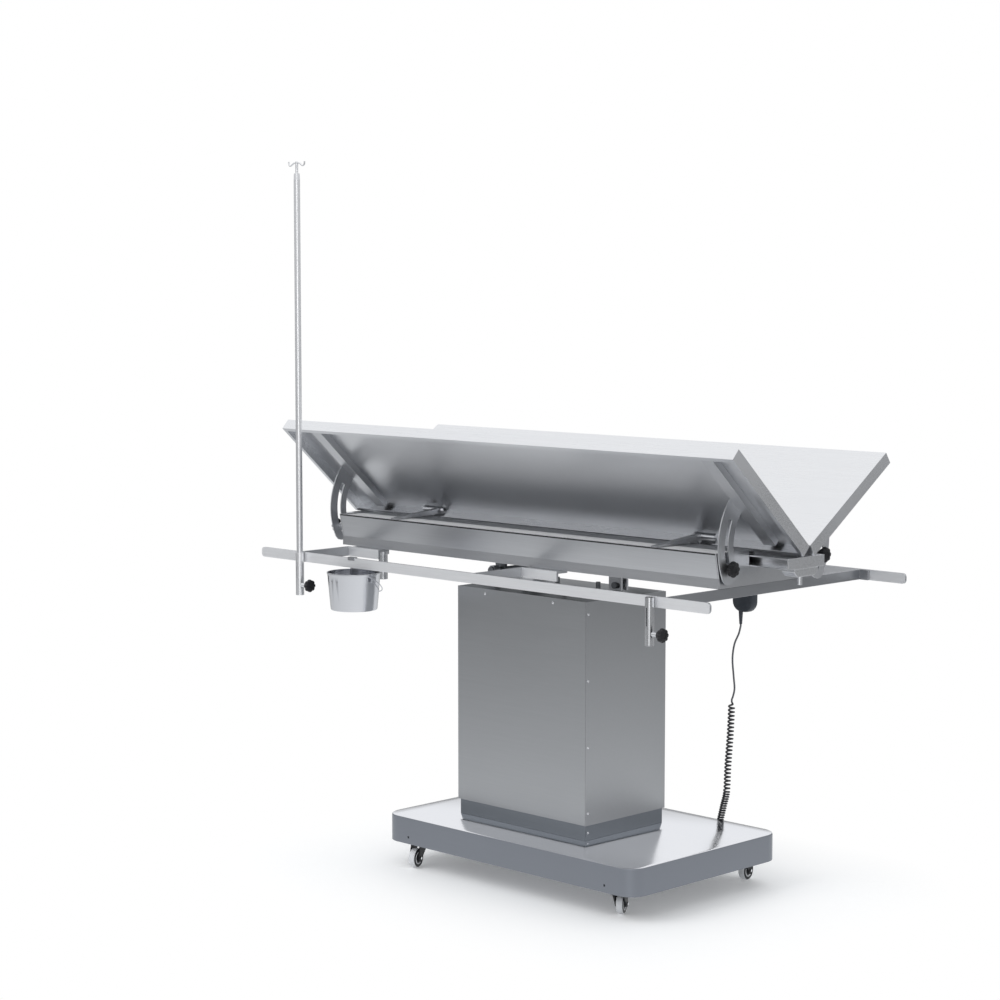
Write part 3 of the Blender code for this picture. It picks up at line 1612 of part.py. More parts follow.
strap_face = -(RAIL_Y - RAIL_THICK) + GAP
pail_y = strap_face + STRAP_THICK / 2
pail_low = PAIL_TOP - PAIL_HEIGHT
pail_shape = [
    (PAIL_RADIUS, PAIL_TOP),
    (PAIL_RADIUS, PAIL_TOP - PAIL_RIM),
    (PAIL_RADIUS - PAIL_RIM / 2, PAIL_TOP - 2 * PAIL_RIM),
    (PAIL_BASE_RADIUS, pail_low + PAIL_RIM),
    (PAIL_BASE_RADIUS - PAIL_RIM / 2, pail_low),
    (0, pail_low),
    (0, pail_low + PAIL_FLOOR),
    (PAIL_BASE_RADIUS - PAIL_RIM, pail_low + PAIL_FLOOR),
    (PAIL_BASE_RADIUS - PAIL_WALL, pail_low + PAIL_FLOOR + PAIL_RIM),
    (PAIL_RADIUS - PAIL_RIM / 2 - PAIL_WALL, PAIL_TOP - 2 * PAIL_RIM),
    (PAIL_RADIUS - PAIL_RIM, PAIL_TOP),
]


def turned_open(profile, matrix, steps):
    """A turned solid whose profile starts away from the axis, touches it twice and closes."""
    cut = next(n for n, (radius, _) in enumerate(profile) if radius == 0)
    ordered = profile[cut + 1 :] + profile[: cut + 1]
    return turned(ordered, matrix, steps)


strap_top = RAIL_TOP + GAP + STRAP_THICK
hook_front = -RAIL_Y - GAP
strip_z = PAIL_TOP - STRAP_DEPTH
neck_radius = PAIL_RADIUS - PAIL_RIM / 2
wall_share = (STRAP_DEPTH - 2 * PAIL_RIM) / (PAIL_HEIGHT - 3 * PAIL_RIM)
strip_half = neck_radius + (PAIL_BASE_RADIUS - neck_radius) * wall_share - PAIL_WALL / 2
strap = [
    (strap_face + STRAP_THICK, strip_z + WELD),
    (strap_face + STRAP_THICK, strap_top),
    (hook_front - STRAP_THICK, strap_top),
    (hook_front - STRAP_THICK, strap_top - STRAP_LIP),
    (hook_front, strap_top - STRAP_LIP),
    (hook_front, RAIL_TOP + GAP),
    (strap_face, RAIL_TOP + GAP),
    (strap_face, strip_z + WELD),
]
ear_z = PAIL_TOP - EAR_DROP
ear_x = PAIL_RADIUS + EAR_STAND
ears = [
    brick(
        PAIL_X + side * (ear_x - EAR_THICK),
        PAIL_X + side * ear_x,
        pail_y - EAR_SIZE / 2,
        pail_y + EAR_SIZE / 2,
        ear_z - EAR_SIZE / 2,
        ear_z + EAR_SIZE / 2,
    )
    for side in (-1, 1)
]
ear_roots = [
    brick(
        PAIL_X + side * (PAIL_RADIUS - PAIL_RIM),
        PAIL_X + side * (ear_x - EAR_THICK + WELD),
        pail_y - EAR_SIZE / 2,
        pail_y + EAR_SIZE / 2,
        ear_z + EAR_SIZE / 2 - EAR_THICK,
        ear_z + EAR_SIZE / 2,
    )
    for side in (-1, 1)
]
node(
    "pail",
    BRIGHT,
    [
        turned_open(pail_shape, Matrix.Translation((PAIL_X, pail_y, 0)), 32),
        outline(strap, "X", PAIL_X - STRAP_WIDTH / 2, PAIL_X + STRAP_WIDTH / 2),
        brick(
            PAIL_X - STRAP_WIDTH / 2,
            PAIL_X + STRAP_WIDTH / 2,
            pail_y - strip_half,
            pail_y + strip_half,
            strip_z,
            strip_z + STRAP_THICK,
        ),
        *ears,
        *ear_roots,
    ],
    [
        rod(
            "X",
            (PAIL_X + side * ear_x, pail_y, ear_z),
            BAIL_RADIUS + GAP,
            4 * EAR_THICK,
            12,
        )
        for side in (-1, 1)
    ],
    origin=(PAIL_X, pail_y, PAIL_TOP),
)
bail_reach = ear_x + 2 * BAIL_RADIUS
droop = math.radians(BAIL_ANGLE_DEG)
bail = [(PAIL_X - ear_x + EAR_THICK / 2, pail_y, ear_z)]
for n in range(21):
    angle = math.pi - math.pi * n / 20
    out = bail_reach * math.sin(angle)
    bail.append(
        (
            PAIL_X + bail_reach * math.cos(angle),
            pail_y + out * math.cos(droop),
            ear_z - out * math.sin(droop),
        )
    )
bail.append((PAIL_X + ear_x - EAR_THICK / 2, pail_y, ear_z))
node("pail_bail", BRIGHT, [tube(bail, BAIL_RADIUS, 1)], origin=(PAIL_X, pail_y, ear_z))

# Pendant on the rear rail, its two buttons, and its cord

pendant_back = RAIL_Y - 2 * GAP - CLIP_THICK
pendant_y = pendant_back - PENDANT_THICK / 2
pendant_top = PENDANT_BOTTOM + PENDANT_HEIGHT
pendant_front = pendant_back - PENDANT_THICK
face_shape = round_corners(
    PENDANT_X - PENDANT_WIDTH / 2,
    PENDANT_X + PENDANT_WIDTH / 2,
    PENDANT_BOTTOM,
    pendant_top,
    PENDANT_FOOT_ROUND,
    PENDANT_HEAD_ROUND,
    5,
)
body = bmesh.new()
body.from_mesh(outline(face_shape, "Y", pendant_front, pendant_back))
bmesh.ops.dissolve_limit(body, angle_limit=math.radians(1), verts=body.verts, edges=body.edges)
rims = [edge for edge in body.edges if edge.calc_face_angle(0) > math.radians(60)]
bmesh.ops.bevel(body, geom=rims, offset=PENDANT_ROUND, segments=2, profile=0.5, affect="EDGES")
clip_top = RAIL_TOP + GAP + CLIP_THICK
clip_in = RAIL_Y - GAP
clip_out = RAIL_Y + RAIL_THICK + GAP
clip = [
    (clip_in - CLIP_THICK - WELD, pendant_top - CLIP_START),
    (clip_in - CLIP_THICK - WELD, pendant_top - PENDANT_ROUND),
    (clip_in - CLIP_THICK, pendant_top),
    (clip_in - CLIP_THICK, clip_top),
    (clip_out + CLIP_THICK, clip_top),
    (clip_out + CLIP_THICK, clip_top - CLIP_LIP),
    (clip_out, clip_top - CLIP_LIP),
    (clip_out, RAIL_TOP + GAP),
    (clip_in, RAIL_TOP + GAP),
    (clip_in, pendant_top - CLIP_START),
]
relief_z = PENDANT_BOTTOM - RELIEF_LENGTH
pockets = []
for share in BUTTON_SHARES:
    z = PENDANT_BOTTOM + share * PENDANT_HEIGHT
    half = BUTTON_SIZE / 2 + GAP
    pockets.append(
        brick(
            PENDANT_X - half,
            PENDANT_X + half,
            pendant_front - OVERRUN,
            pendant_front + BUTTON_DEPTH,
            z - half,
            z + half,
        )
    )
node(
    "pendant",
    BLACK,
    [
        from_bmesh(body),
        outline(clip, "X", PENDANT_X - CLIP_WIDTH / 2, PENDANT_X + CLIP_WIDTH / 2),
        rod(
            "Z",
            (RELIEF_X, pendant_y, PENDANT_BOTTOM - RELIEF_LENGTH / 2 + RELIEF_SUNK / 2),
            RELIEF_END_RADIUS,
            RELIEF_LENGTH + RELIEF_SUNK,
            16,
            RELIEF_TOP_RADIUS,
        ),
    ],
    pockets,
    origin=(PENDANT_X, pendant_y, pendant_top),
)
for label, share in zip(("up", "down"), BUTTON_SHARES):
    z = PENDANT_BOTTOM + share * PENDANT_HEIGHT
    button_back = pendant_front + BUTTON_DEPTH - 2 * BUTTON_STAND / 3 - GAP
    node(
        f"button_{label}",
        GREY,
        [
            brick(
                PENDANT_X - BUTTON_SIZE / 2,
                PENDANT_X + BUTTON_SIZE / 2,
                pendant_front - BUTTON_STAND,
                button_back,
                z - BUTTON_SIZE / 2,
                z + BUTTON_SIZE / 2,
            )
        ],
        origin=(PENDANT_X, pendant_front, z),
    )

gland_face = BASE_WIDTH / 2
gland_tip = gland_face + GLAND_LENGTH
node(
    "cord_gland",
    BLACK,
    [
        rod("Y", (GLAND_X, gland_face + GAP + GLAND_LENGTH / 2, GLAND_Z), GLAND_RADIUS, GLAND_LENGTH),
        rod("Y", (GLAND_X, gland_face - BASE_SHEET, GLAND_Z), GLAND_ROOT, 4 * BASE_SHEET),
    ],
)

lead_top = Vector((RELIEF_X, pendant_y, relief_z - GAP))
lead = [lead_top, lead_top - Vector((0, 0, 2 * CORD_RADIUS))]
lead += smooth_route([tuple(lead[1]), *LEAD_ROUTE[1:]], LEAD_POINTS)[1:]
lead_end = Vector(LEAD_ROUTE[-1])
lead.append(lead_end - Vector((0, 0, 2 * CORD_RADIUS)))
node("cord_lead", CORD, [tube(lead, CORD_RADIUS, 2)])


def curl_route():
    """The curled length: open curls, then close ones, then the turn into the gland."""
    axis = smooth_route(CURL_AXIS, 400)
    lengths = [0.0]
    for a, b in zip(axis, axis[1:]):
        lengths.append(lengths[-1] + (b - a).length)
    total = lengths[-1]

    def centre_at(distance):
        distance = min(max(distance, 0.0), total)
        k = next((n for n, reached in enumerate(lengths) if reached >= distance), len(lengths) - 1)
        if k == 0:
            return axis[0]
        t = (distance - lengths[k - 1]) / (lengths[k] - lengths[k - 1])
        return axis[k - 1].lerp(axis[k], t)

    open_length = next(reached for reached, p in zip(lengths, axis) if p.z < CURL_AXIS[3][2])
    curls = OPEN_CURLS + TIGHT_CURLS
    count = curls * CURL_POINTS
    start = Vector(lead[-1]) - Vector((0, 0, GAP))
    route = [start, start - Vector((0, 0, 2 * CORD_RADIUS))]
    for n in range(count + 1):
        turns = n / CURL_POINTS
        if turns <= OPEN_CURLS:
            distance = open_length * turns / OPEN_CURLS
        else:
            distance = open_length + (total - open_length) * (turns - OPEN_CURLS) / TIGHT_CURLS
        grow = min(1.0, turns / 0.75)
        angle = math.tau * turns
        offset = Vector((math.cos(angle), math.sin(angle), 0)) * CURL_RADIUS * grow
        point = centre_at(distance) + offset
        if point.z < route[-1].z - CORD_RADIUS / 4 or n > 2:
            route.append(point)
    last = route[-1]
    along = (route[-1] - route[-2]).normalized()
    goal = Vector((GLAND_X, gland_face + 2 * GAP + GLAND_LENGTH, GLAND_Z))
    straight = goal + Vector((0, 2.2 * CORD_RADIUS, 0))
    reach = (straight - last).length
    out_tangent = Vector((0, -1, 0)) * reach * 1.4
    in_tangent = along * reach * 1.2
    for n in range(1, 9):
        t = n / 8
        h1 = 2 * t**3 - 3 * t**2 + 1
        h2 = t**3 - 2 * t**2 + t
        h3 = -2 * t**3 + 3 * t**2
        h4 = t**3 - t**2
        route.append(last * h1 + in_tangent * h2 + straight * h3 + out_tangent * h4)
    route.append(goal)
    return route


curl = curl_route()
node("cord_curl", CORD, [tube(curl, CORD_RADIUS, 1)])

least = min(
    (a - b).length
    for i, a in enumerate(curl)
    for j, b in enumerate(curl)
    if j > i + CURL_POINTS // 2
)
print("least gap of the curled cord to itself, mm:", round((least - 2 * CORD_RADIUS) * 1000, 2))

# Centre the outer box of the table, without its cord, on the origin

bpy.context.view_layer.update()
graph = bpy.context.evaluated_depsgraph_get()
low = Vector((math.inf, math.inf))
high = Vector((-math.inf, -math.inf))
for piece in PARTS.objects:
    if piece.name in ("cord_lead", "cord_curl", "cord_gland"):
        continue
    shape = piece.evaluated_get(graph).to_mesh()
    for vertex in shape.vertices:
        at = piece.matrix_world @ vertex.co
        low = Vector((min(low.x, at.x), min(low.y, at.y)))
        high = Vector((max(high.x, at.x), max(high.y, at.y)))
    piece.evaluated_get(graph).to_mesh_clear()
offset = -(low + high) / 2
for piece in (*PARTS.objects, *TOOLS.objects):
    piece.location.x += offset.x
    piece.location.y += offset.y
print("moved by", round(offset.x, 6), round(offset.y, 6))
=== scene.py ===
"""Looks of the V-top surgery table: bevelled steel, moulded parts, the curled cord, studio and camera."""

import json
import math
from collections import namedtuple

import bmesh
import bpy
from mathutils import Matrix, Vector

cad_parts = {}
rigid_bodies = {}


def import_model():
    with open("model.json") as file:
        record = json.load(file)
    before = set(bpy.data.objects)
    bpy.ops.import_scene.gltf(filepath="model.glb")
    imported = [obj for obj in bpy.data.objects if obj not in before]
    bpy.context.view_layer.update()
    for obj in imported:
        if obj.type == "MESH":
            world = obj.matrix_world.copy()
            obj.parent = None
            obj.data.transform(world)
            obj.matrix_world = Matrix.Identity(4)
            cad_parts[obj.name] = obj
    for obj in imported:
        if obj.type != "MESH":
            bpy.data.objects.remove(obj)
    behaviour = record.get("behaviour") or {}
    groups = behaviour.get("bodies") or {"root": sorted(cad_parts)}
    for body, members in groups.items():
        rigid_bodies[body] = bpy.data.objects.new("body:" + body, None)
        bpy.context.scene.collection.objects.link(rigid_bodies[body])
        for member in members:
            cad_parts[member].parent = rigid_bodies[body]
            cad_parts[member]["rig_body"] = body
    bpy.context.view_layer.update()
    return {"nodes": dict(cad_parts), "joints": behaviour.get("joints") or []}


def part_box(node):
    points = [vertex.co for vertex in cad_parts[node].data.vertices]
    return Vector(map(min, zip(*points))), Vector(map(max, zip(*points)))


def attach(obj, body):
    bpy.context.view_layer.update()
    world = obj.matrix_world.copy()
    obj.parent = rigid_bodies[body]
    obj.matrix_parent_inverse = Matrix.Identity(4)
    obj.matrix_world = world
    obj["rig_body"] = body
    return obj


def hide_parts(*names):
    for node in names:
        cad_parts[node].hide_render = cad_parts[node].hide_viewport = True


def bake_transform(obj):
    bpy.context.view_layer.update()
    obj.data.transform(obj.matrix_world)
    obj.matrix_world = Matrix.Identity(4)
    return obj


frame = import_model()
NODES = frame["nodes"]
CASTOR_CORNERS = ("front_left", "front_right", "rear_left", "rear_right")
PEDAL_CORNERS = ("front_right", "rear_right")

# The table's sizes are laid out with the middle of the base at X = 0, Y = 0
base_low, base_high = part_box("base_cover")
SHIFT = Vector(((base_low.x + base_high.x) / 2, (base_low.y + base_high.y) / 2, 0))

# Camera
CAMERA_PLACE = (3.9124, -4.1918, 1.4659)
CAMERA_TURN_DEG = 44.97
CAMERA_TILT_DEG = -5.38
CAMERA_LENS = 85.07
CAMERA_SENSOR = 36
CAMERA_REACH = 100


def make_camera():
    data = bpy.data.cameras.new("camera")
    data.lens = CAMERA_LENS
    data.sensor_width = CAMERA_SENSOR
    data.clip_end = CAMERA_REACH
    camera = bpy.data.objects.new("camera", data)
    camera.location = Vector(CAMERA_PLACE) + SHIFT
    camera.rotation_euler = (
        math.radians(90 + CAMERA_TILT_DEG),
        0,
        math.radians(CAMERA_TURN_DEG),
    )
    bpy.context.scene.collection.objects.link(camera)
    bpy.context.scene.camera = camera


make_camera()


# Materials


class Tree:
    """A short way to write the nodes of a material or a world."""

    def __init__(self, owner):
        owner.use_nodes = True
        self.owner = owner
        self.nodes = owner.node_tree.nodes
        self.links = owner.node_tree.links

    def fill(self, socket, value):
        """Links an input to another node's output, or gives it a plain value."""
        if isinstance(value, bpy.types.NodeSocket):
            self.links.new(value, socket)
        else:
            socket.default_value = value

    def add(self, kind, inputs=None, **settings):
        made = self.nodes.new(kind)
        for key, value in settings.items():
            setattr(made, key, value)
        for key, value in (inputs or {}).items():
            self.fill(made.inputs[key], value)
        return made

    def maths(self, operation, *values):
        return self.add("ShaderNodeMath", dict(enumerate(values)), operation=operation).outputs[0]

    def vector_maths(self, operation, *values):
        made = self.add("ShaderNodeVectorMath", dict(enumerate(values)), operation=operation)
        return made.outputs["Value" if operation == "LENGTH" else "Vector"]

    def span(self, value, low, high, from_low=0.3, from_high=0.7):
        """Maps a value between two limits, by default the range that noise mostly fills."""
        return self.add(
            "ShaderNodeMapRange",
            {"Value": value, "From Min": from_low, "From Max": from_high, "To Min": low, "To Max": high},
        ).outputs[0]

    def mix_shaders(self, factor, first, second):
        return self.add("ShaderNodeMixShader", {0: factor, 1: first, 2: second}).outputs[0]


class Look(Tree):
    """A material around its main shader, with the nodes that most looks need."""

    # On a Mix node that is set to RGBA: the factor, both colours, and the colour that comes out
    MIX_INPUTS = (0, 6, 7)
    MIX_OUTPUT = 2

    def __init__(self, name):
        super().__init__(bpy.data.materials.new(name))
        self.shader = self.nodes["Principled BSDF"]

    def set(self, **inputs):
        for key, value in inputs.items():
            self.fill(self.shader.inputs[key.replace("_", " ")], value)

    def place(self, scale=(1, 1, 1)):
        """The piece's own coordinates in metres, stretched by a scale for each axis."""
        source = self.add("ShaderNodeTexCoord").outputs["Object"]
        return self.add("ShaderNodeMapping", {"Vector": source, "Scale": scale}).outputs[0]

    def noise(self, vector, scale=1.0, detail=2.0, rough=0.5):
        return self.add(
            "ShaderNodeTexNoise",
            {"Vector": vector, "Scale": scale, "Detail": detail, "Roughness": rough},
        ).outputs["Fac"]

    def mix(self, factor, first, second):
        inputs = dict(zip(self.MIX_INPUTS, (factor, first, second)))
        return self.add("ShaderNodeMix", inputs, data_type="RGBA").outputs[self.MIX_OUTPUT]

    def bump(self, height, strength, distance):
        return self.add(
            "ShaderNodeBump", {"Height": height, "Strength": strength, "Distance": distance}
        ).outputs[0]


def shade(colour, factor, lift=0.0):
    return (*[min(1, c * factor + lift) for c in colour], 1)


# Brushed steel. Its lines, bands and smudges are noise, with so many features in a metre
LINES_ALONG = 14.0
LINES_ACROSS = 1500.0
LINES_ROUGH = 0.6
BANDS_ALONG = 2.0
BANDS_ACROSS = 160.0
SMUDGES = 5.0
# How much the bands show, how many times the contrast they are darker, and what the lines do to the
# roughness and to the height in metres
BAND_SHARE = 0.35
BAND_DARKNESS = 1.5
ROUGH_SWING = 0.04
LINE_DEPTH = 0.00004

# Painted light and shade, one steel in a lit and a shaded copy: another colour and roughness for faces
# whose normal has less than low of an axis, fading until high
ShadedSides = namedtuple("ShadedSides", "colour rough low high by", defaults=("Z",))


def stretched(grain, along, across):
    return tuple(along if axis == grain else across for axis in "XYZ")


def steel(name, colour, rough, grain, contrast=0.05, smudge=0.05, metallic=1.0, shaded_sides=None, relief=0.10):
    """Brushed steel: fine lines along one axis, broad darker bands and soft smudges. Shaded sides are
    painted shade on faces turned from the light; by Y they count the faces to the front and to the rear
    alike, and by Z they tell upward from downward."""
    t = Look(name)
    lines = t.noise(t.place(stretched(grain, LINES_ALONG, LINES_ACROSS)), rough=LINES_ROUGH)
    bands = t.noise(t.place(stretched(grain, BANDS_ALONG, BANDS_ACROSS)))
    smudges = t.noise(t.place(), scale=SMUDGES, detail=4.0)
    tone = t.mix(t.span(lines, 0.0, 1.0), shade(colour, 1 - contrast), shade(colour, 1 + contrast))
    tone = t.mix(t.span(bands, 0.0, BAND_SHARE), tone, shade(colour, 1 - BAND_DARKNESS * contrast))
    rough_lines = t.span(lines, rough - ROUGH_SWING, rough + ROUGH_SWING)
    roughness = t.maths("ADD", rough_lines, t.span(smudges, -smudge / 2, smudge / 2))
    # Painted light and shade: faces turned from the light fade to the darker sides colour and roughness
    if shaded_sides:
        normal = t.add("ShaderNodeTexCoord").outputs["Normal"]
        part = t.add("ShaderNodeSeparateXYZ", {0: normal}).outputs[shaded_sides.by]
        if shaded_sides.by == "Y":
            part = t.maths("ABSOLUTE", part)
        lit_faces = t.span(part, 0.0, 1.0, shaded_sides.low, shaded_sides.high)
        tone = t.mix(lit_faces, shade(shaded_sides.colour, 1), tone)
        roughness = t.maths("ADD", roughness, t.span(lit_faces, shaded_sides.rough - rough, 0.0, 0.0, 1.0))
    t.set(Base_Color=tone, Roughness=roughness, Metallic=metallic)
    t.set(Normal=t.bump(lines, relief, LINE_DEPTH))
    return t.owner


SHEET = steel("sheet_along", (0.56, 0.57, 0.59), 0.34, "X")
BEAM = steel("beam_steel", (0.78, 0.79, 0.81), 0.30, "X", contrast=0.03, smudge=0.04)
PANEL = steel("panel_upright", (0.42, 0.43, 0.445), 0.34, "X", contrast=0.03, smudge=0.04)
# The cover's top is painted light, near white, and its sides are painted shade, dark
COVER = steel(
    "cover_steel",
    (0.84, 0.85, 0.88),
    0.14,
    "X",
    contrast=0.02,
    smudge=0.03,
    shaded_sides=ShadedSides((0.235, 0.25, 0.28), 0.36, 0.5, 0.95),
)
PLINTH = steel("plinth_steel", (0.23, 0.25, 0.275), 0.40, "X", contrast=0.04)
# The wings' undersides are painted shade, darker than their upper faces
WING = steel(
    "wing_steel",
    (0.82, 0.83, 0.85),
    0.30,
    "X",
    contrast=0.03,
    smudge=0.06,
    shaded_sides=ShadedSides((0.62, 0.63, 0.65), 0.34, -0.45, -0.15),
)
# The rails' faces that face neither front nor rear, such as the arms' sides, are painted shade
RAIL = steel(
    "rail_steel",
    (0.86, 0.865, 0.88),
    0.42,
    "X",
    contrast=0.04,
    smudge=0.04,
    metallic=0.75,
    shaded_sides=ShadedSides((0.44, 0.45, 0.47), 0.38, 0.5, 0.9, by="Y"),
)
# The crossbar is the rails' steel painted in shade, darker, on faces turned from the light
RAIL_ACROSS_SHADED = steel("rail_across_shaded", (0.36, 0.37, 0.39), 0.36, "Y", contrast=0.04)
FITTING = steel("fitting_steel", (0.56, 0.57, 0.59), 0.42, "Z", contrast=0.03)
POLISHED = steel("polished_steel", (0.72, 0.73, 0.75), 0.20, "Z", contrast=0.02, smudge=0.02, relief=0.01)
POLE = steel("pole_steel", (0.92, 0.925, 0.94), 0.34, "Z", contrast=0.02, smudge=0.02, relief=0.01)
DARK = steel("dark_steel", (0.20, 0.21, 0.22), 0.40, "Z", contrast=0.06)

# The decks: painted shade under the wings, dull and darker, and painted light in a bright outer margin,
# which fades in between two distances from the middle
DECK_LIGHT_MARGIN = (0.100, 0.112)
DECK_PAINTED_SHADE = (0.46, 0.47, 0.49)
DECK_SHADE_METALLIC = 0.85
DECK_PAINTED_LIGHT = (0.97, 0.97, 0.97)
DECK_LIGHT_METALLIC = 0.10
DECK_ROUGH = (0.38, 0.46)


def deck_steel():
    t = Look("deck_steel")
    lines = t.noise(t.place(stretched("X", LINES_ALONG, LINES_ACROSS)), rough=LINES_ROUGH)
    across = t.add("ShaderNodeSeparateXYZ", {0: t.place()}).outputs["Y"]
    reach = t.maths("ABSOLUTE", t.maths("SUBTRACT", across, SHIFT.y))
    # Painted light in the outer margin, painted shade under the wings
    lit_margin = t.span(reach, 0.0, 1.0, *DECK_LIGHT_MARGIN)
    t.set(Base_Color=t.mix(lit_margin, shade(DECK_PAINTED_SHADE, 1), shade(DECK_PAINTED_LIGHT, 1)))
    t.set(Metallic=t.span(lit_margin, DECK_SHADE_METALLIC, DECK_LIGHT_METALLIC, 0.0, 1.0))
    t.set(Roughness=t.span(lines, *DECK_ROUGH))
    return t.owner


DECK = deck_steel()

# The pail's polished sheet, with the small dents of deep drawing
PAIL_COLOUR = (0.66, 0.67, 0.70)
PAIL_ROUGH = (0.13, 0.23)
DENT_SCALE = (60, 60, 22)
DENT_STRENGTH = 0.35
DENT_DEPTH = 0.0012
PAIL_CLOUD_SCALE = 25.0


def pail_steel():
    t = Look("pail_steel")
    dents = t.noise(t.place(DENT_SCALE))
    cloud = t.noise(t.place(), scale=PAIL_CLOUD_SCALE, detail=3.0)
    t.set(Base_Color=shade(PAIL_COLOUR, 1), Roughness=t.span(cloud, *PAIL_ROUGH), Metallic=1.0)
    t.set(Normal=t.bump(dents, DENT_STRENGTH, DENT_DEPTH))
    return t.owner


PAIL = pail_steel()

# Moulded plastic or rubber
DUST_SCALE = 30.0
DUST_GAIN = 1.12
DUST_LIFT = 0.01
MOULDED_ROUGH_LESS = 0.06
MOULDED_ROUGH_MORE = 0.08
MOULDED_RELIEF = 0.25


def moulded(name, colour, rough, grain_size, specular=0.5):
    """Moulded plastic or rubber with a fine grain and slightly dusty patches."""
    t = Look(name)
    vector = t.place()
    grain = t.noise(vector, scale=1 / grain_size)
    dust = t.noise(vector, scale=DUST_SCALE, detail=4.0)
    dusty = shade(colour, DUST_GAIN, DUST_LIFT)
    t.set(Base_Color=t.mix(t.span(dust, 0.0, 1.0), shade(colour, 1), dusty))
    t.set(Roughness=t.span(dust, rough - MOULDED_ROUGH_LESS, rough + MOULDED_ROUGH_MORE))
    t.set(Specular_IOR_Level=specular)
    t.set(Normal=t.bump(grain, MOULDED_RELIEF, grain_size / 4))
    return t.owner


BLACK = moulded("black_nylon", (0.006, 0.006, 0.008), 0.34, 0.0006, specular=0.30)
FORK = moulded("black_fork", (0.008, 0.009, 0.012), 0.45, 0.0008, specular=0.22)
TYRE = moulded("grey_tread", (0.60, 0.61, 0.63), 0.5, 0.0012)
HUB = moulded("grey_hub", (0.60, 0.61, 0.63), 0.42, 0.0012)
CORD = moulded("cord_jacket", (0.016, 0.017, 0.022), 0.38, 0.0008)
LEAD = moulded("lead_jacket", (0.085, 0.09, 0.10), 0.42, 0.0008)
BODY = moulded("pendant_body", (0.030, 0.036, 0.046), 0.40, 0.0007, specular=0.35)
BUTTON = moulded("button_rubber", (0.33, 0.34, 0.36), 0.55, 0.0008)
# Painted shadow, standing for the shade in the gap under the decks' edges
GAP_SHADOW = moulded("painted_gap_shadow", (0.010, 0.010, 0.012), 0.7, 0.001)


# Building helpers

# Points closer than WELD become one, and faces that differ by less than FLAT_DEG become one. Edges
# that turn by more than BEVEL_DEG are rounded, and those over SMOOTH_DEG are shaded sharp.
WELD = 0.00001
FLAT_DEG = 0.6
BEVEL_DEG = 32
SMOOTH_DEG = 35


def body_of(node):
    return NODES[node]["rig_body"]


def find_joint(key, value):
    return next(joint for joint in frame["joints"] if joint[key] == value)


def finish_piece(piece, look, body, slot, *nodes):
    piece.data.materials.clear()
    piece.data.materials.append(look)
    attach(piece, body)
    if nodes:
        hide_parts(*nodes)
    return piece


def from_bmesh(name, bm, smooth_deg=SMOOTH_DEG):
    mesh = bpy.data.meshes.new(name)
    bm.to_mesh(mesh)
    bm.free()
    mesh.shade_smooth()
    mesh.set_sharp_from_angle(angle=math.radians(smooth_deg))
    piece = bpy.data.objects.new(name, mesh)
    bpy.context.scene.collection.objects.link(piece)
    return piece


def soften(piece, width, segments):
    bevel = piece.modifiers.new("edge", "BEVEL")
    bevel.width = width
    bevel.segments = segments
    bevel.limit_method = "ANGLE"
    bevel.angle_limit = math.radians(BEVEL_DEG)
    bevel.harden_normals = True
    bevel.use_clamp_overlap = True


def dressed(node, look, slot, width, segments=2):
    """A CAD piece again, its flat faces whole and its edges rounded, standing for the CAD node."""
    bm = bmesh.new()
    bm.from_mesh(NODES[node].data)
    for layer in list(bm.loops.layers.float_vector):
        bm.loops.layers.float_vector.remove(layer)
    bmesh.ops.remove_doubles(bm, verts=bm.verts, dist=WELD)
    bmesh.ops.dissolve_limit(bm, angle_limit=math.radians(FLAT_DEG), verts=bm.verts, edges=bm.edges)
    piece = from_bmesh(f"{node}_finish", bm)
    for name in ("custom_normal", "sharp_face"):
        found = piece.data.attributes.get(name)
        if found:
            piece.data.attributes.remove(found)
    soften(piece, width, segments)
    return finish_piece(piece, look, body_of(node), slot, node)


def skin(bm, rings, steps):
    """Joins rings of points, each ring whole or a single point at a pole, with faces."""
    for upper, lower in zip(rings, rings[1:]):
        for n in range(steps):
            m = (n + 1) % steps
            if len(upper) == 1:
                bm.faces.new((upper[0], lower[n], lower[m]))
            elif len(lower) == 1:
                bm.faces.new((upper[n], lower[0], upper[m]))
            else:
                bm.faces.new((upper[n], lower[n], lower[m], upper[m]))
    bmesh.ops.recalc_face_normals(bm, faces=bm.faces)


def lathe(profile, steps, place):
    """A surface turned about Z from (radius, height) pairs, then placed by a matrix."""
    bm = bmesh.new()
    rings = []
    for radius, height in profile:
        if radius == 0:
            rings.append([bm.verts.new((0, 0, height))])
            continue
        ring = []
        for n in range(steps):
            angle = math.tau * n / steps
            ring.append(bm.verts.new((radius * math.cos(angle), radius * math.sin(angle), height)))
        rings.append(ring)
    skin(bm, rings, steps)
    bmesh.ops.transform(bm, matrix=place, verts=bm.verts)
    return bm


# Cord, with its places and curls as in the part's source

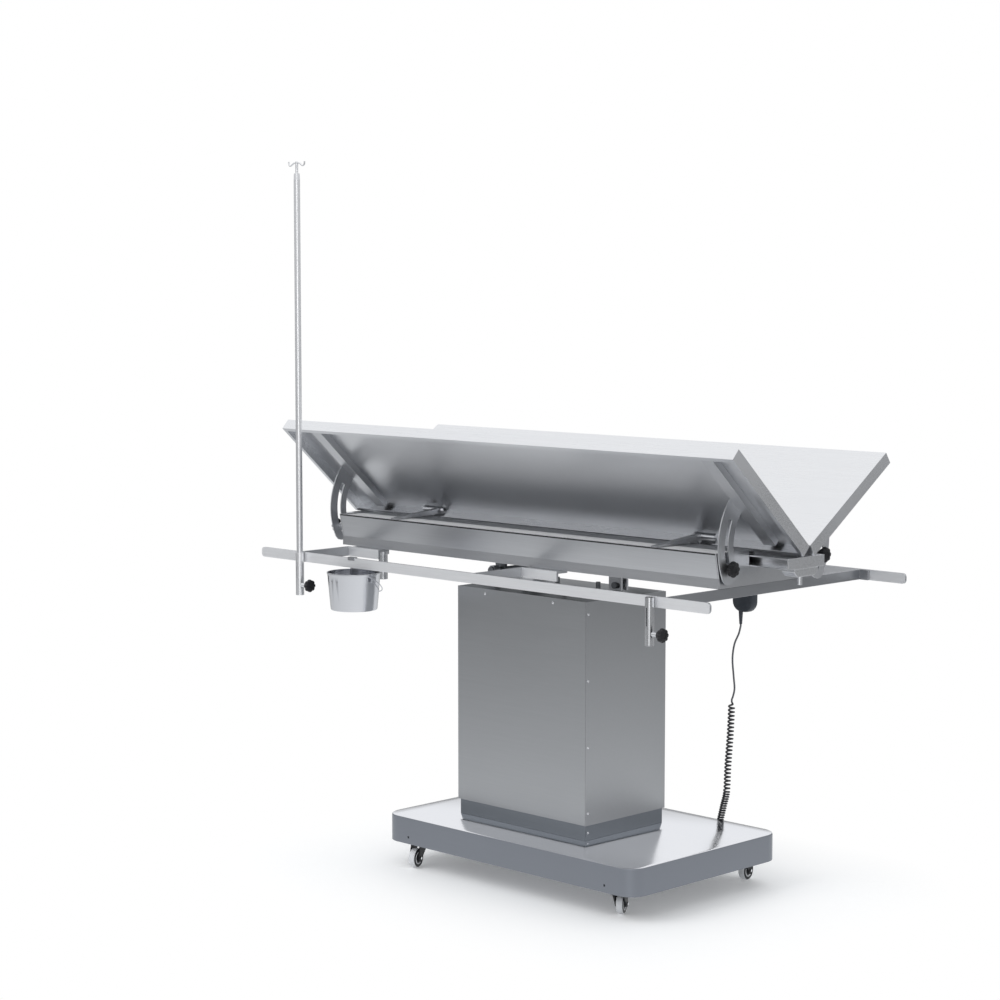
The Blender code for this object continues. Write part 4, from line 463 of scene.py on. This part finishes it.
CORD_RADIUS = 0.0023
PENDANT_Y = 0.33960
RELIEF_X = 0.2300
RELIEF_Z = 0.6097
GLAND_X = 0.196
GLAND_Z = 0.090
GLAND_TIP = 0.2796
CURL_RADIUS = 0.0068
OPEN_CURLS = 23
TIGHT_CURLS = 13
LEAD_ROUTE = (
    (0.2300, 0.3396, 0.6090),
    (0.2240, 0.3396, 0.5850),
    (0.2110, 0.3390, 0.5571),
    (0.2085, 0.3350, 0.5209),
    (0.2167, 0.3300, 0.4789),
    (0.2240, 0.3250, 0.4504),
    (0.2262, 0.3180, 0.4336),
    (0.2262, 0.3120, 0.4230),
)
CURL_AXIS = (
    (0.2262, 0.3120, 0.4120),
    (0.2275, 0.3060, 0.3400),
    (0.2282, 0.2970, 0.2600),
    (0.2280, 0.2930, 0.1945),
    (0.2200, 0.2920, 0.1600),
    (0.2080, 0.2920, 0.1150),
)
# The point of the axis at which the curls become tight
TIGHT_START = 3
# Points on each curl, the first a third of a turn round
CURL_STEPS = 24
FIRST_STEP = CURL_STEPS // 3
AXIS_POINTS = 400
LEAD_POINTS = 60
JACKET_RESOLUTION = 4
ENTRY_POINTS = 10
ENTRY_PULL = 1.2
EXIT_POINTS = 16
EXIT_PULL = 1.3
GLAND_APPROACH = 2.2 * CORD_RADIUS
# The curled length is cut after about this many curls
SPLIT_CURLS = 9


def smooth_route(points, count):
    """Evenly counted points on a smooth curve through the given ones."""
    places = [Vector(p) for p in points]
    places = [2 * places[0] - places[1], *places, 2 * places[-1] - places[-2]]
    spans = len(places) - 3
    result = []
    for n in range(count):
        at = n / (count - 1) * spans
        k = min(int(at), spans - 1)
        t = at - k
        a, b, c, d = places[k : k + 4]
        result.append(
            0.5
            * (
                2 * b
                + (c - a) * t
                + (2 * a - 5 * b + 4 * c - d) * t * t
                + (3 * b - 3 * c + d - a) * t * t * t
            )
        )
    return result


def bridge(first, leaving, last, arriving, pull, count):
    """Points between two places, leaving and arriving along unit directions."""
    reach = (last - first).length * pull
    points = []
    for n in range(1, count):
        t = n / count
        points.append(
            first * (2 * t**3 - 3 * t**2 + 1)
            + leaving * reach * (t**3 - 2 * t**2 + t)
            + last * (3 * t**2 - 2 * t**3)
            + arriving * reach * (t**3 - t**2)
        )
    return points


def curl_route(start):
    """The curled length, as in the part's source but with more points on each curl."""
    axis = smooth_route(CURL_AXIS, AXIS_POINTS)
    lengths = [0.0]
    for a, b in zip(axis, axis[1:]):
        lengths.append(lengths[-1] + (b - a).length)
    total = lengths[-1]

    def centre_at(distance):
        distance = min(max(distance, 0.0), total)
        k = next((n for n, reached in enumerate(lengths) if reached >= distance), len(lengths) - 1)
        if k == 0:
            return axis[0]
        t = (distance - lengths[k - 1]) / (lengths[k] - lengths[k - 1])
        return axis[k - 1].lerp(axis[k], t)

    tight_z = CURL_AXIS[TIGHT_START][2]
    open_length = next(reached for reached, p in zip(lengths, axis) if p.z < tight_z)
    helix = []
    for n in range(FIRST_STEP, (OPEN_CURLS + TIGHT_CURLS) * CURL_STEPS + 1):
        turns = n / CURL_STEPS
        if turns <= OPEN_CURLS:
            distance = open_length * turns / OPEN_CURLS
        else:
            distance = open_length + (total - open_length) * (turns - OPEN_CURLS) / TIGHT_CURLS
        angle = math.tau * turns
        helix.append(centre_at(distance) + Vector((math.cos(angle), math.sin(angle), 0)) * CURL_RADIUS)
    goal = Vector((GLAND_X, GLAND_TIP, GLAND_Z))
    straight = goal + Vector((0, GLAND_APPROACH, 0))
    down = Vector((0, 0, -1))
    entering = (helix[1] - helix[0]).normalized()
    leaving = (helix[-1] - helix[-2]).normalized()
    route = [start]
    route += bridge(start, down, helix[0], entering, ENTRY_PULL, ENTRY_POINTS)
    route += helix
    route += bridge(helix[-1], leaving, straight, Vector((0, -1, 0)), EXIT_PULL, EXIT_POINTS)
    return [*route, straight, goal]


def cord_mesh(name, route):
    """A round tube along a route, as a mesh."""
    curve = bpy.data.curves.new(name, "CURVE")
    curve.dimensions = "3D"
    curve.bevel_depth = CORD_RADIUS
    curve.bevel_resolution = JACKET_RESOLUTION
    curve.use_fill_caps = True
    curve.resolution_u = 1
    spline = curve.splines.new("POLY")
    spline.points.add(len(route) - 1)
    for point, at in zip(spline.points, route):
        point.co = (*(at + SHIFT), 1.0)
    maker = bpy.data.objects.new(name + "_curve", curve)
    bpy.context.scene.collection.objects.link(maker)
    bpy.context.view_layer.update()
    graph = bpy.context.evaluated_depsgraph_get()
    mesh = bpy.data.meshes.new_from_object(maker.evaluated_get(graph))
    bpy.data.objects.remove(maker, do_unlink=True)
    bpy.data.curves.remove(curve)
    mesh.shade_smooth()
    piece = bpy.data.objects.new(name, mesh)
    bpy.context.scene.collection.objects.link(piece)
    return piece


def cord_piece(name, route, look, node=None):
    """One length of cord along a route, with its look, standing for the CAD node if one is given."""
    piece = cord_mesh(name, route)
    piece.data.materials.append(look)
    if node:
        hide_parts(node)
    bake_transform(piece)


def make_cord():
    drop = Vector((0, 0, 2 * CORD_RADIUS))
    top = Vector((RELIEF_X, PENDANT_Y, RELIEF_Z))
    lead = [top, top - drop]
    lead += smooth_route([lead[1], *LEAD_ROUTE[1:]], LEAD_POINTS)[1:]
    lead.append(Vector(LEAD_ROUTE[-1]) - drop)
    curl = curl_route(lead[-1])
    split = CURL_STEPS * SPLIT_CURLS
    cord_piece(
        "cord_lead_jacket",
        lead,
        LEAD,
        node="cord_lead",
    )
    cord_piece(
        "cord_curl_high",
        curl[: split + 1],
        CORD,
    )
    cord_piece(
        "cord_curl_low",
        curl[split:],
        CORD,
        node="cord_curl",
    )


make_cord()


# Sheet-metal pieces and fittings, each with its look and the width of its rounded edges

for node, look, width in (
    ("base_cover", COVER, 0.0008),
    ("plinth", PLINTH, 0.0006),
    ("shroud_wrap", PANEL, 0.0005),
    ("shroud_end", PANEL, 0.0005),
    ("chassis_trough", SHEET, 0.0007),
    ("chassis_end_left", SHEET, 0.0006),
    ("chassis_end_right", SHEET, 0.0006),
    ("deck_front", DECK, 0.0006),
    ("deck_rear", DECK, 0.0006),
    ("rail_front", RAIL, 0.0009),
    ("rail_rear", RAIL, 0.0009),
    ("rail_crossbar", RAIL_ACROSS_SHADED, 0.0009),
    ("hinge_stand_left", FITTING, 0.0004),
    ("hinge_stand_right", FITTING, 0.0004),
    ("rib_front_left", FITTING, 0.0005),
    ("rib_front_right", FITTING, 0.0005),
    ("rib_rear_left", FITTING, 0.0005),
    ("rib_rear_right", FITTING, 0.0005),
    ("beam_block", BEAM, 0.0008),
    ("tilt_stand", FITTING, 0.0008),
    ("tilt_clevis", FITTING, 0.0006),
    ("socket_pole", POLE, 0.0005),
    ("socket_spare", POLISHED, 0.0005),
):
    dressed(node, look, "brushed_steel", width)
for node, look, width in (
    ("wing_front", WING, 0.0008),
    ("wing_rear", WING, 0.0008),
    ("centre_beam", BEAM, 0.0006),
    ("drain_spout", POLISHED, 0.0005),
    ("pole_tube", POLE, 0.0004),
    ("pole_stem", POLE, 0.0003),
    ("pail", PAIL, 0.0003),
    ("pail_bail", PAIL, 0.0002),
):
    dressed(node, look, "bright_steel", width)

# The dark, moulded and rubber pieces

DARK_EDGE = 0.0006
MOULDED_EDGE = 0.0007
PENDANT_EDGE = 0.0008
GLAND_EDGE = 0.001
BUTTON_EDGE = 0.0012

for node in ("base_frame", "lift_post", "column_top", "tilt_yoke", "tilt_ram"):
    dressed(node, DARK, "dark_steel", DARK_EDGE)
for label in CASTOR_CORNERS:
    dressed(f"castor_fork_{label}", FORK, "black_plastic", MOULDED_EDGE)
for label in PEDAL_CORNERS:
    dressed(f"castor_pedal_{label}", FORK, "black_plastic", MOULDED_EDGE)
dressed("pendant", BODY, "black_plastic", PENDANT_EDGE)
dressed("cord_gland", BLACK, "black_plastic", GLAND_EDGE)
for label in ("up", "down"):
    dressed(f"button_{label}", BUTTON, "grey_rubber", BUTTON_EDGE, segments=3)


# Bright caps over the column's rivets and screws

RIVET_DOME = ((0.0, 0.0017), (0.0014, 0.00165), (0.0026, 0.0013), (0.0034, 0.0007), (0.0036, 0.0))
DOME_STEPS = 20
DOME_SMOOTH_DEG = 60
RIVET_HEAD = 0.0012
RIVET_INSET = 0.008
RIVET_SHARES = (0.945, 0.648, 0.350, 0.055)
SCREW_SHARES = (0.22, 0.75)
SCREW_DROP = 0.012


def rivet_caps():
    end_low, end_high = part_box("shroud_end")
    wrap_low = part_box("shroud_wrap")[0]
    plinth_low, plinth_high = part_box("plinth")
    end_x = end_high.x - RIVET_HEAD
    places = []
    for share in RIVET_SHARES:
        z = end_low.z + share * (end_high.z - end_low.z)
        places.append(((end_x, end_low.y + RIVET_INSET, z), "Y", "shroud_end"))
    seen_middle = (plinth_low.z + end_low.z) / 2
    places.append(((plinth_high.x - RIVET_HEAD, plinth_low.y + RIVET_INSET, seen_middle), "Y", "plinth"))
    for share in SCREW_SHARES:
        x = wrap_low.x + share * (end_x - wrap_low.x)
        places.append(((x, end_low.y, end_high.z - SCREW_DROP), "X", "shroud_wrap"))
    for number, (place, axis, node) in enumerate(places):
        seat = Matrix.Translation(place) @ Matrix.Rotation(math.radians(90), 4, axis)
        cap = from_bmesh(f"rivet_cap_{number}", lathe(RIVET_DOME, DOME_STEPS, seat), DOME_SMOOTH_DEG)
        finish_piece(cap, POLISHED, body_of(node), "bright_steel")


rivet_caps()


# A dark strip of painted shadow in the gap under either deck's outer edge, at the top of the trough's walls

SHADOW_GAP_HEIGHT = 0.0034
SHADOW_GAP_DROP = 0.0006
SHADOW_GAP_PROUD = 0.0003
SHADOW_GAP_THICK = 0.0006
# The walls' lean is measured from the rim to the widest place below this depth under it, and the rim
# is the widest place of all whose heights agree to so many digits
RIM_DEPTH = 0.010
HEIGHT_DIGITS = 4


def deck_shadow_gaps():
    low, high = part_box("chassis_trough")
    middle = (low.y + high.y) / 2

    def reach(place):
        return abs(place.y - middle)

    places = [vertex.co for vertex in NODES["chassis_trough"].data.vertices]
    rim = max(places, key=lambda place: (round(place.z, HEIGHT_DIGITS), reach(place)))
    foot = max((place for place in places if place.z < rim.z - RIM_DEPTH), key=reach)
    lean = (reach(rim) - reach(foot)) / (rim.z - foot.z)
    outline = (
        (SHADOW_GAP_DROP, SHADOW_GAP_PROUD),
        (SHADOW_GAP_DROP, SHADOW_GAP_PROUD - SHADOW_GAP_THICK),
        (SHADOW_GAP_DROP + SHADOW_GAP_HEIGHT, SHADOW_GAP_PROUD - SHADOW_GAP_THICK),
        (SHADOW_GAP_DROP + SHADOW_GAP_HEIGHT, SHADOW_GAP_PROUD),
    )
    for name, side in (("front", -1), ("rear", 1)):
        bm = bmesh.new()
        corners = []
        for drop, out in outline:
            y = middle + side * (reach(rim) - lean * drop + out)
            corners.append([bm.verts.new((x, y, rim.z - drop)) for x in (low.x, high.x)])
        bm.faces.new([pair[0] for pair in corners])
        bm.faces.new([pair[1] for pair in reversed(corners)])
        for first, second in zip(corners, corners[1:] + corners[:1]):
            bm.faces.new((first[0], first[1], second[1], second[0]))
        bmesh.ops.recalc_face_normals(bm, faces=bm.faces)
        shadow_strip = from_bmesh(f"deck_shadow_gap_{name}", bm)
        finish_piece(shadow_strip, GAP_SHADOW, body_of("chassis_trough"), "dark_steel")


deck_shadow_gaps()


# Star knobs

CLAMP_KNOB_RADIUS = 0.0185
SOCKET_KNOB_RADIUS = 0.0160
KNOB_LOBES = 8
LOBE_STEPS = 12
LOBE_DEPTH_SHARE = 0.16
LOBE_POWER = 4
KNOB_SMOOTH_DEG = 50
KNOB_NECK = 0.006
# The neck: radius and distance from the seat
NECK_PROFILE = (
    (0.0, -0.0056),
    (0.0036, -0.0056),
    (0.0036, 0.0),
    (0.0086, 0.0),
    (0.0090, 0.0010),
    (0.0084, 0.0050),
)
# The head: share of the radius, distance past the neck, and how much of the lobes' depth shows
HEAD_PROFILE = (
    (0.62, 0.0, 0.3),
    (0.90, 0.0010, 0.9),
    (0.985, 0.0030, 1.0),
    (1.0, 0.0060, 1.0),
    (0.985, 0.0090, 1.0),
    (0.90, 0.0116, 0.9),
    (0.60, 0.0124, 0.3),
    (0.42, 0.0126, 0.0),
    (0.38, 0.0114, 0.0),
    (0.0, 0.0110, 0.0),
)


def star_knob(node, radius):
    low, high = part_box(node)
    middle_y = (low.y + high.y) / 2
    middle_z = (low.z + high.z) / 2
    joint = find_joint("child", body_of(node))
    sign = joint["axis"][0]
    seat = joint["pos_m"][0]
    profile = [(reach, along, 0.0) for reach, along in NECK_PROFILE]
    profile += [(radius * share, KNOB_NECK + along, lobed) for share, along, lobed in HEAD_PROFILE]
    steps = KNOB_LOBES * LOBE_STEPS
    bm = bmesh.new()
    rings = []
    for reach, along, lobed in profile:
        x = seat + sign * along
        if reach == 0:
            rings.append([bm.verts.new((x, middle_y, middle_z))])
            continue
        ring = []
        for n in range(steps):
            angle = math.tau * n / steps
            dip = LOBE_DEPTH_SHARE * lobed * abs(math.sin(KNOB_LOBES * angle / 2)) ** LOBE_POWER
            r = reach * (1 - dip)
            ring.append(bm.verts.new((x, middle_y + r * math.cos(angle), middle_z + r * math.sin(angle))))
        rings.append(ring)
    skin(bm, rings, steps)
    piece = from_bmesh(f"{node}_star", bm, KNOB_SMOOTH_DEG)
    finish_piece(piece, BLACK, body_of(node), "black_plastic", node)


for node in sorted(NODES):
    if node.startswith("clamp_knob"):
        star_knob(node, CLAMP_KNOB_RADIUS)
    elif node.startswith("socket_knob"):
        star_knob(node, SOCKET_KNOB_RADIUS)


# Castor wheels: pale tread, dark side walls, a pale ring round a dark hub, and bright axle bolts.
# The wheel's outlines have the radius and the distance from its middle, the bolt's the distance from
# its seat.

WHEEL_CORE = (
    (0.0044, -0.0084),
    (0.0076, -0.0086),
    (0.0084, -0.0068),
    (0.0150, -0.0066),
    (0.0150, 0.0066),
    (0.0084, 0.0068),
    (0.0076, 0.0086),
    (0.0044, 0.0084),
)
WHEEL_TREAD = (
    (0.0190, -0.0070),
    (0.0225, -0.0078),
    (0.0236, -0.0064),
    (0.0240, -0.0042),
    (0.0240, 0.0042),
    (0.0236, 0.0064),
    (0.0225, 0.0078),
    (0.0190, 0.0070),
)
WHEEL_WALL = (
    (0.0160, 0.0070),
    (0.0161, 0.0084),
    (0.0168, 0.0089),
    (0.0200, 0.0089),
    (0.0220, 0.0083),
    (0.0226, 0.0077),
    (0.0200, 0.0068),
)
WHEEL_RING = (
    (0.0126, 0.0064),
    (0.0131, 0.0082),
    (0.0139, 0.0090),
    (0.0152, 0.0090),
    (0.0160, 0.0084),
    (0.0160, 0.0064),
)
WHEEL_STEPS = 72
WHEEL_SMOOTH_DEG = 40
WHEEL_WELD = 0.000001
BOLT_PROFILE = ((0.0, 0.0024), (0.0032, 0.0024), (0.0040, 0.0016), (0.0040, 0.0))
BOLT_SIDES = 6
BOLT_SEAT = 0.0140
BOLT_SMOOTH_DEG = 30


def closed_ring(name, profile, place):
    """A ring turned from a closed profile."""
    bm = lathe([*profile, profile[0]], WHEEL_STEPS, place)
    bmesh.ops.remove_doubles(bm, verts=bm.verts, dist=WHEEL_WELD)
    bmesh.ops.recalc_face_normals(bm, faces=bm.faces)
    return from_bmesh(name, bm, WHEEL_SMOOTH_DEG)


def wheel_pieces(label):
    node = f"castor_wheel_{label}"
    joint = find_joint("name", f"wheel_{label}")
    turn = Vector(joint["axis"]).to_track_quat("Z", "Y").to_matrix().to_4x4()
    place = Matrix.Translation(joint["pos_m"]) @ turn
    body = body_of(node)
    fork = body_of(f"castor_fork_{label}")
    finish_piece(closed_ring(f"{node}_tread", WHEEL_TREAD, place), TYRE, body, "grey_rubber", node)
    finish_piece(closed_ring(f"{node}_core", WHEEL_CORE, place), FORK, body, "black_plastic")
    for side in (1, -1):
        wall = [(reach, side * away) for reach, away in WHEEL_WALL]
        ring = [(reach, side * away) for reach, away in WHEEL_RING]
        finish_piece(closed_ring(f"{node}_wall_{side + 1}", wall, place), FORK, body, "black_plastic")
        finish_piece(closed_ring(f"{node}_ring_{side + 1}", ring, place), HUB, body, "grey_rubber")
        outward = Matrix.Rotation(math.pi if side < 0 else 0, 4, "X")
        seat = place @ outward @ Matrix.Translation((0, 0, BOLT_SEAT))
        bolt = from_bmesh(f"{node}_bolt_{side + 1}", lathe(BOLT_PROFILE, BOLT_SIDES, seat), BOLT_SMOOTH_DEG)
        finish_piece(bolt, POLISHED, fork, "bright_steel")


for label in CASTOR_CORNERS:
    wheel_pieces(label)


# Studio: the world. What metal mirrors goes by height, as (share of the way up, brightness)

MIRRORED_FOOT = (0.75, 0.76, 0.78, 1)
MIRRORED_TOP = (1.0, 1.0, 1.0, 1)
MIRRORED_STOPS = ((0.47, 0.60), (0.505, 0.50), (0.56, 0.62), (0.66, 0.92))
MIRRORED_TINT = (1.0, 1.01, 1.03)
SOFT_COLOUR = (0.96, 0.98, 1.0, 1)
SOFT_STRENGTH = 0.80
WHITE = (1, 1, 1, 1)


def make_world():
    """White for the camera, soft light on the object, and bright and dark bands for metal to mirror."""
    world = bpy.data.worlds.new("studio")
    bpy.context.scene.world = world
    tree = Tree(world)
    tree.nodes.clear()
    path = tree.add("ShaderNodeLightPath")
    direction = tree.add("ShaderNodeTexCoord").outputs["Generated"]
    height = tree.add("ShaderNodeSeparateXYZ", {0: direction}).outputs["Z"]
    ramp = tree.add("ShaderNodeValToRGB", {"Fac": tree.span(height, 0.0, 1.0, -1.0, 1.0)})
    stops = ramp.color_ramp.elements
    stops[0].color = MIRRORED_FOOT
    stops[1].color = MIRRORED_TOP
    for position, value in MIRRORED_STOPS:
        stops.new(position).color = shade(MIRRORED_TINT, value)
    mirrored = tree.add("ShaderNodeBackground", {"Color": ramp.outputs["Color"]}).outputs[0]
    soft = tree.add("ShaderNodeBackground", {"Color": SOFT_COLOUR, "Strength": SOFT_STRENGTH}).outputs[0]
    white = tree.add("ShaderNodeBackground", {"Color": WHITE}).outputs[0]
    light = tree.mix_shaders(path.outputs["Is Glossy Ray"], soft, mirrored)
    whole = tree.mix_shaders(path.outputs["Is Camera Ray"], light, white)
    tree.add("ShaderNodeOutputWorld", {"Surface": whole})


# Studio: the floor, which keeps the table's shadow and turns white for the camera away from the base

FLOOR_HALF = 15
FLOOR_COLOUR = (0.92, 0.925, 0.93)
FLOOR_ROUGH = 0.6
FLOOR_SPECULAR = 0.2
FLOOR_LIFT = 0.14
SHADOW_FADE = (0.02, 0.42)
# What metal mirrors of the floor, near the table and far from it
SHEEN_COLOUR = (0.97, 0.985, 1, 1)
SHEEN = (0.96, 0.22)
SHEEN_REACH = (0.8, 5.5)


def make_floor():
    bm = bmesh.new()
    bmesh.ops.create_grid(bm, x_segments=1, y_segments=1, size=FLOOR_HALF)
    floor = from_bmesh("floor", bm)
    look = Look("floor_white")
    look.set(Base_Color=shade(FLOOR_COLOUR, 1), Roughness=FLOOR_ROUGH, Specular_IOR_Level=FLOOR_SPECULAR)
    path = look.add("ShaderNodeLightPath")
    camera_ray = path.outputs["Is Camera Ray"]
    plain = look.shader.outputs[0]
    glow = look.add("ShaderNodeEmission", {"Color": WHITE, "Strength": FLOOR_LIFT}).outputs[0]
    lifted = look.add("ShaderNodeAddShader", {0: plain, 1: glow}).outputs[0]
    near = look.mix_shaders(camera_ray, plain, lifted)

    place = look.add("ShaderNodeNewGeometry").outputs["Position"]
    quarter = look.vector_maths("ABSOLUTE", look.vector_maths("SUBTRACT", place, SHIFT))
    past_base = look.vector_maths("SUBTRACT", quarter, (base_high - base_low) / 2)
    apart = look.vector_maths("LENGTH", look.vector_maths("MAXIMUM", past_base, (0, 0, 0)))
    fade = look.maths("MULTIPLY", look.span(apart, 0.0, 1.0, *SHADOW_FADE), camera_ray)
    white = look.add("ShaderNodeEmission", {"Color": WHITE, "Strength": 1.0}).outputs[0]
    seen = look.mix_shaders(fade, near, white)

    sheen = look.span(look.vector_maths("LENGTH", place), *SHEEN, *SHEEN_REACH)
    mirrored = look.add("ShaderNodeEmission", {"Color": SHEEN_COLOUR, "Strength": sheen}).outputs[0]
    whole = look.mix_shaders(path.outputs["Is Glossy Ray"], seen, mirrored)
    look.fill(look.nodes["Material Output"].inputs["Surface"], whole)
    floor.data.materials.append(look.owner)


# Studio: the lamps, with their places, sizes, powers and whether metal mirrors them

LAMPS = (
    ("key_light", (-1.8, -4.0, 4.4), 3.6, 100, False),
    ("fill_light", (3.2, -4.2, 0.85), 2.8, 32, True),
    ("top_light", (0.6, 1.2, 4.6), 4.0, 26, False),
)
LAMP_AIM = Vector((0, 0, 0.6))


def make_lamps():
    for name, place, size, power, mirrored in LAMPS:
        data = bpy.data.lights.new(name, "AREA")
        data.shape = "SQUARE"
        data.size = size
        data.energy = power
        lamp = bpy.data.objects.new(name, data)
        lamp.location = place
        lamp.rotation_euler = (LAMP_AIM - Vector(place)).to_track_quat("-Z", "Y").to_euler()
        lamp.visible_camera = False
        lamp.visible_glossy = mirrored
        bpy.context.scene.collection.objects.link(lamp)


bpy.context.scene.view_settings.view_transform = "Standard"
make_world()
make_floor()
make_lamps()
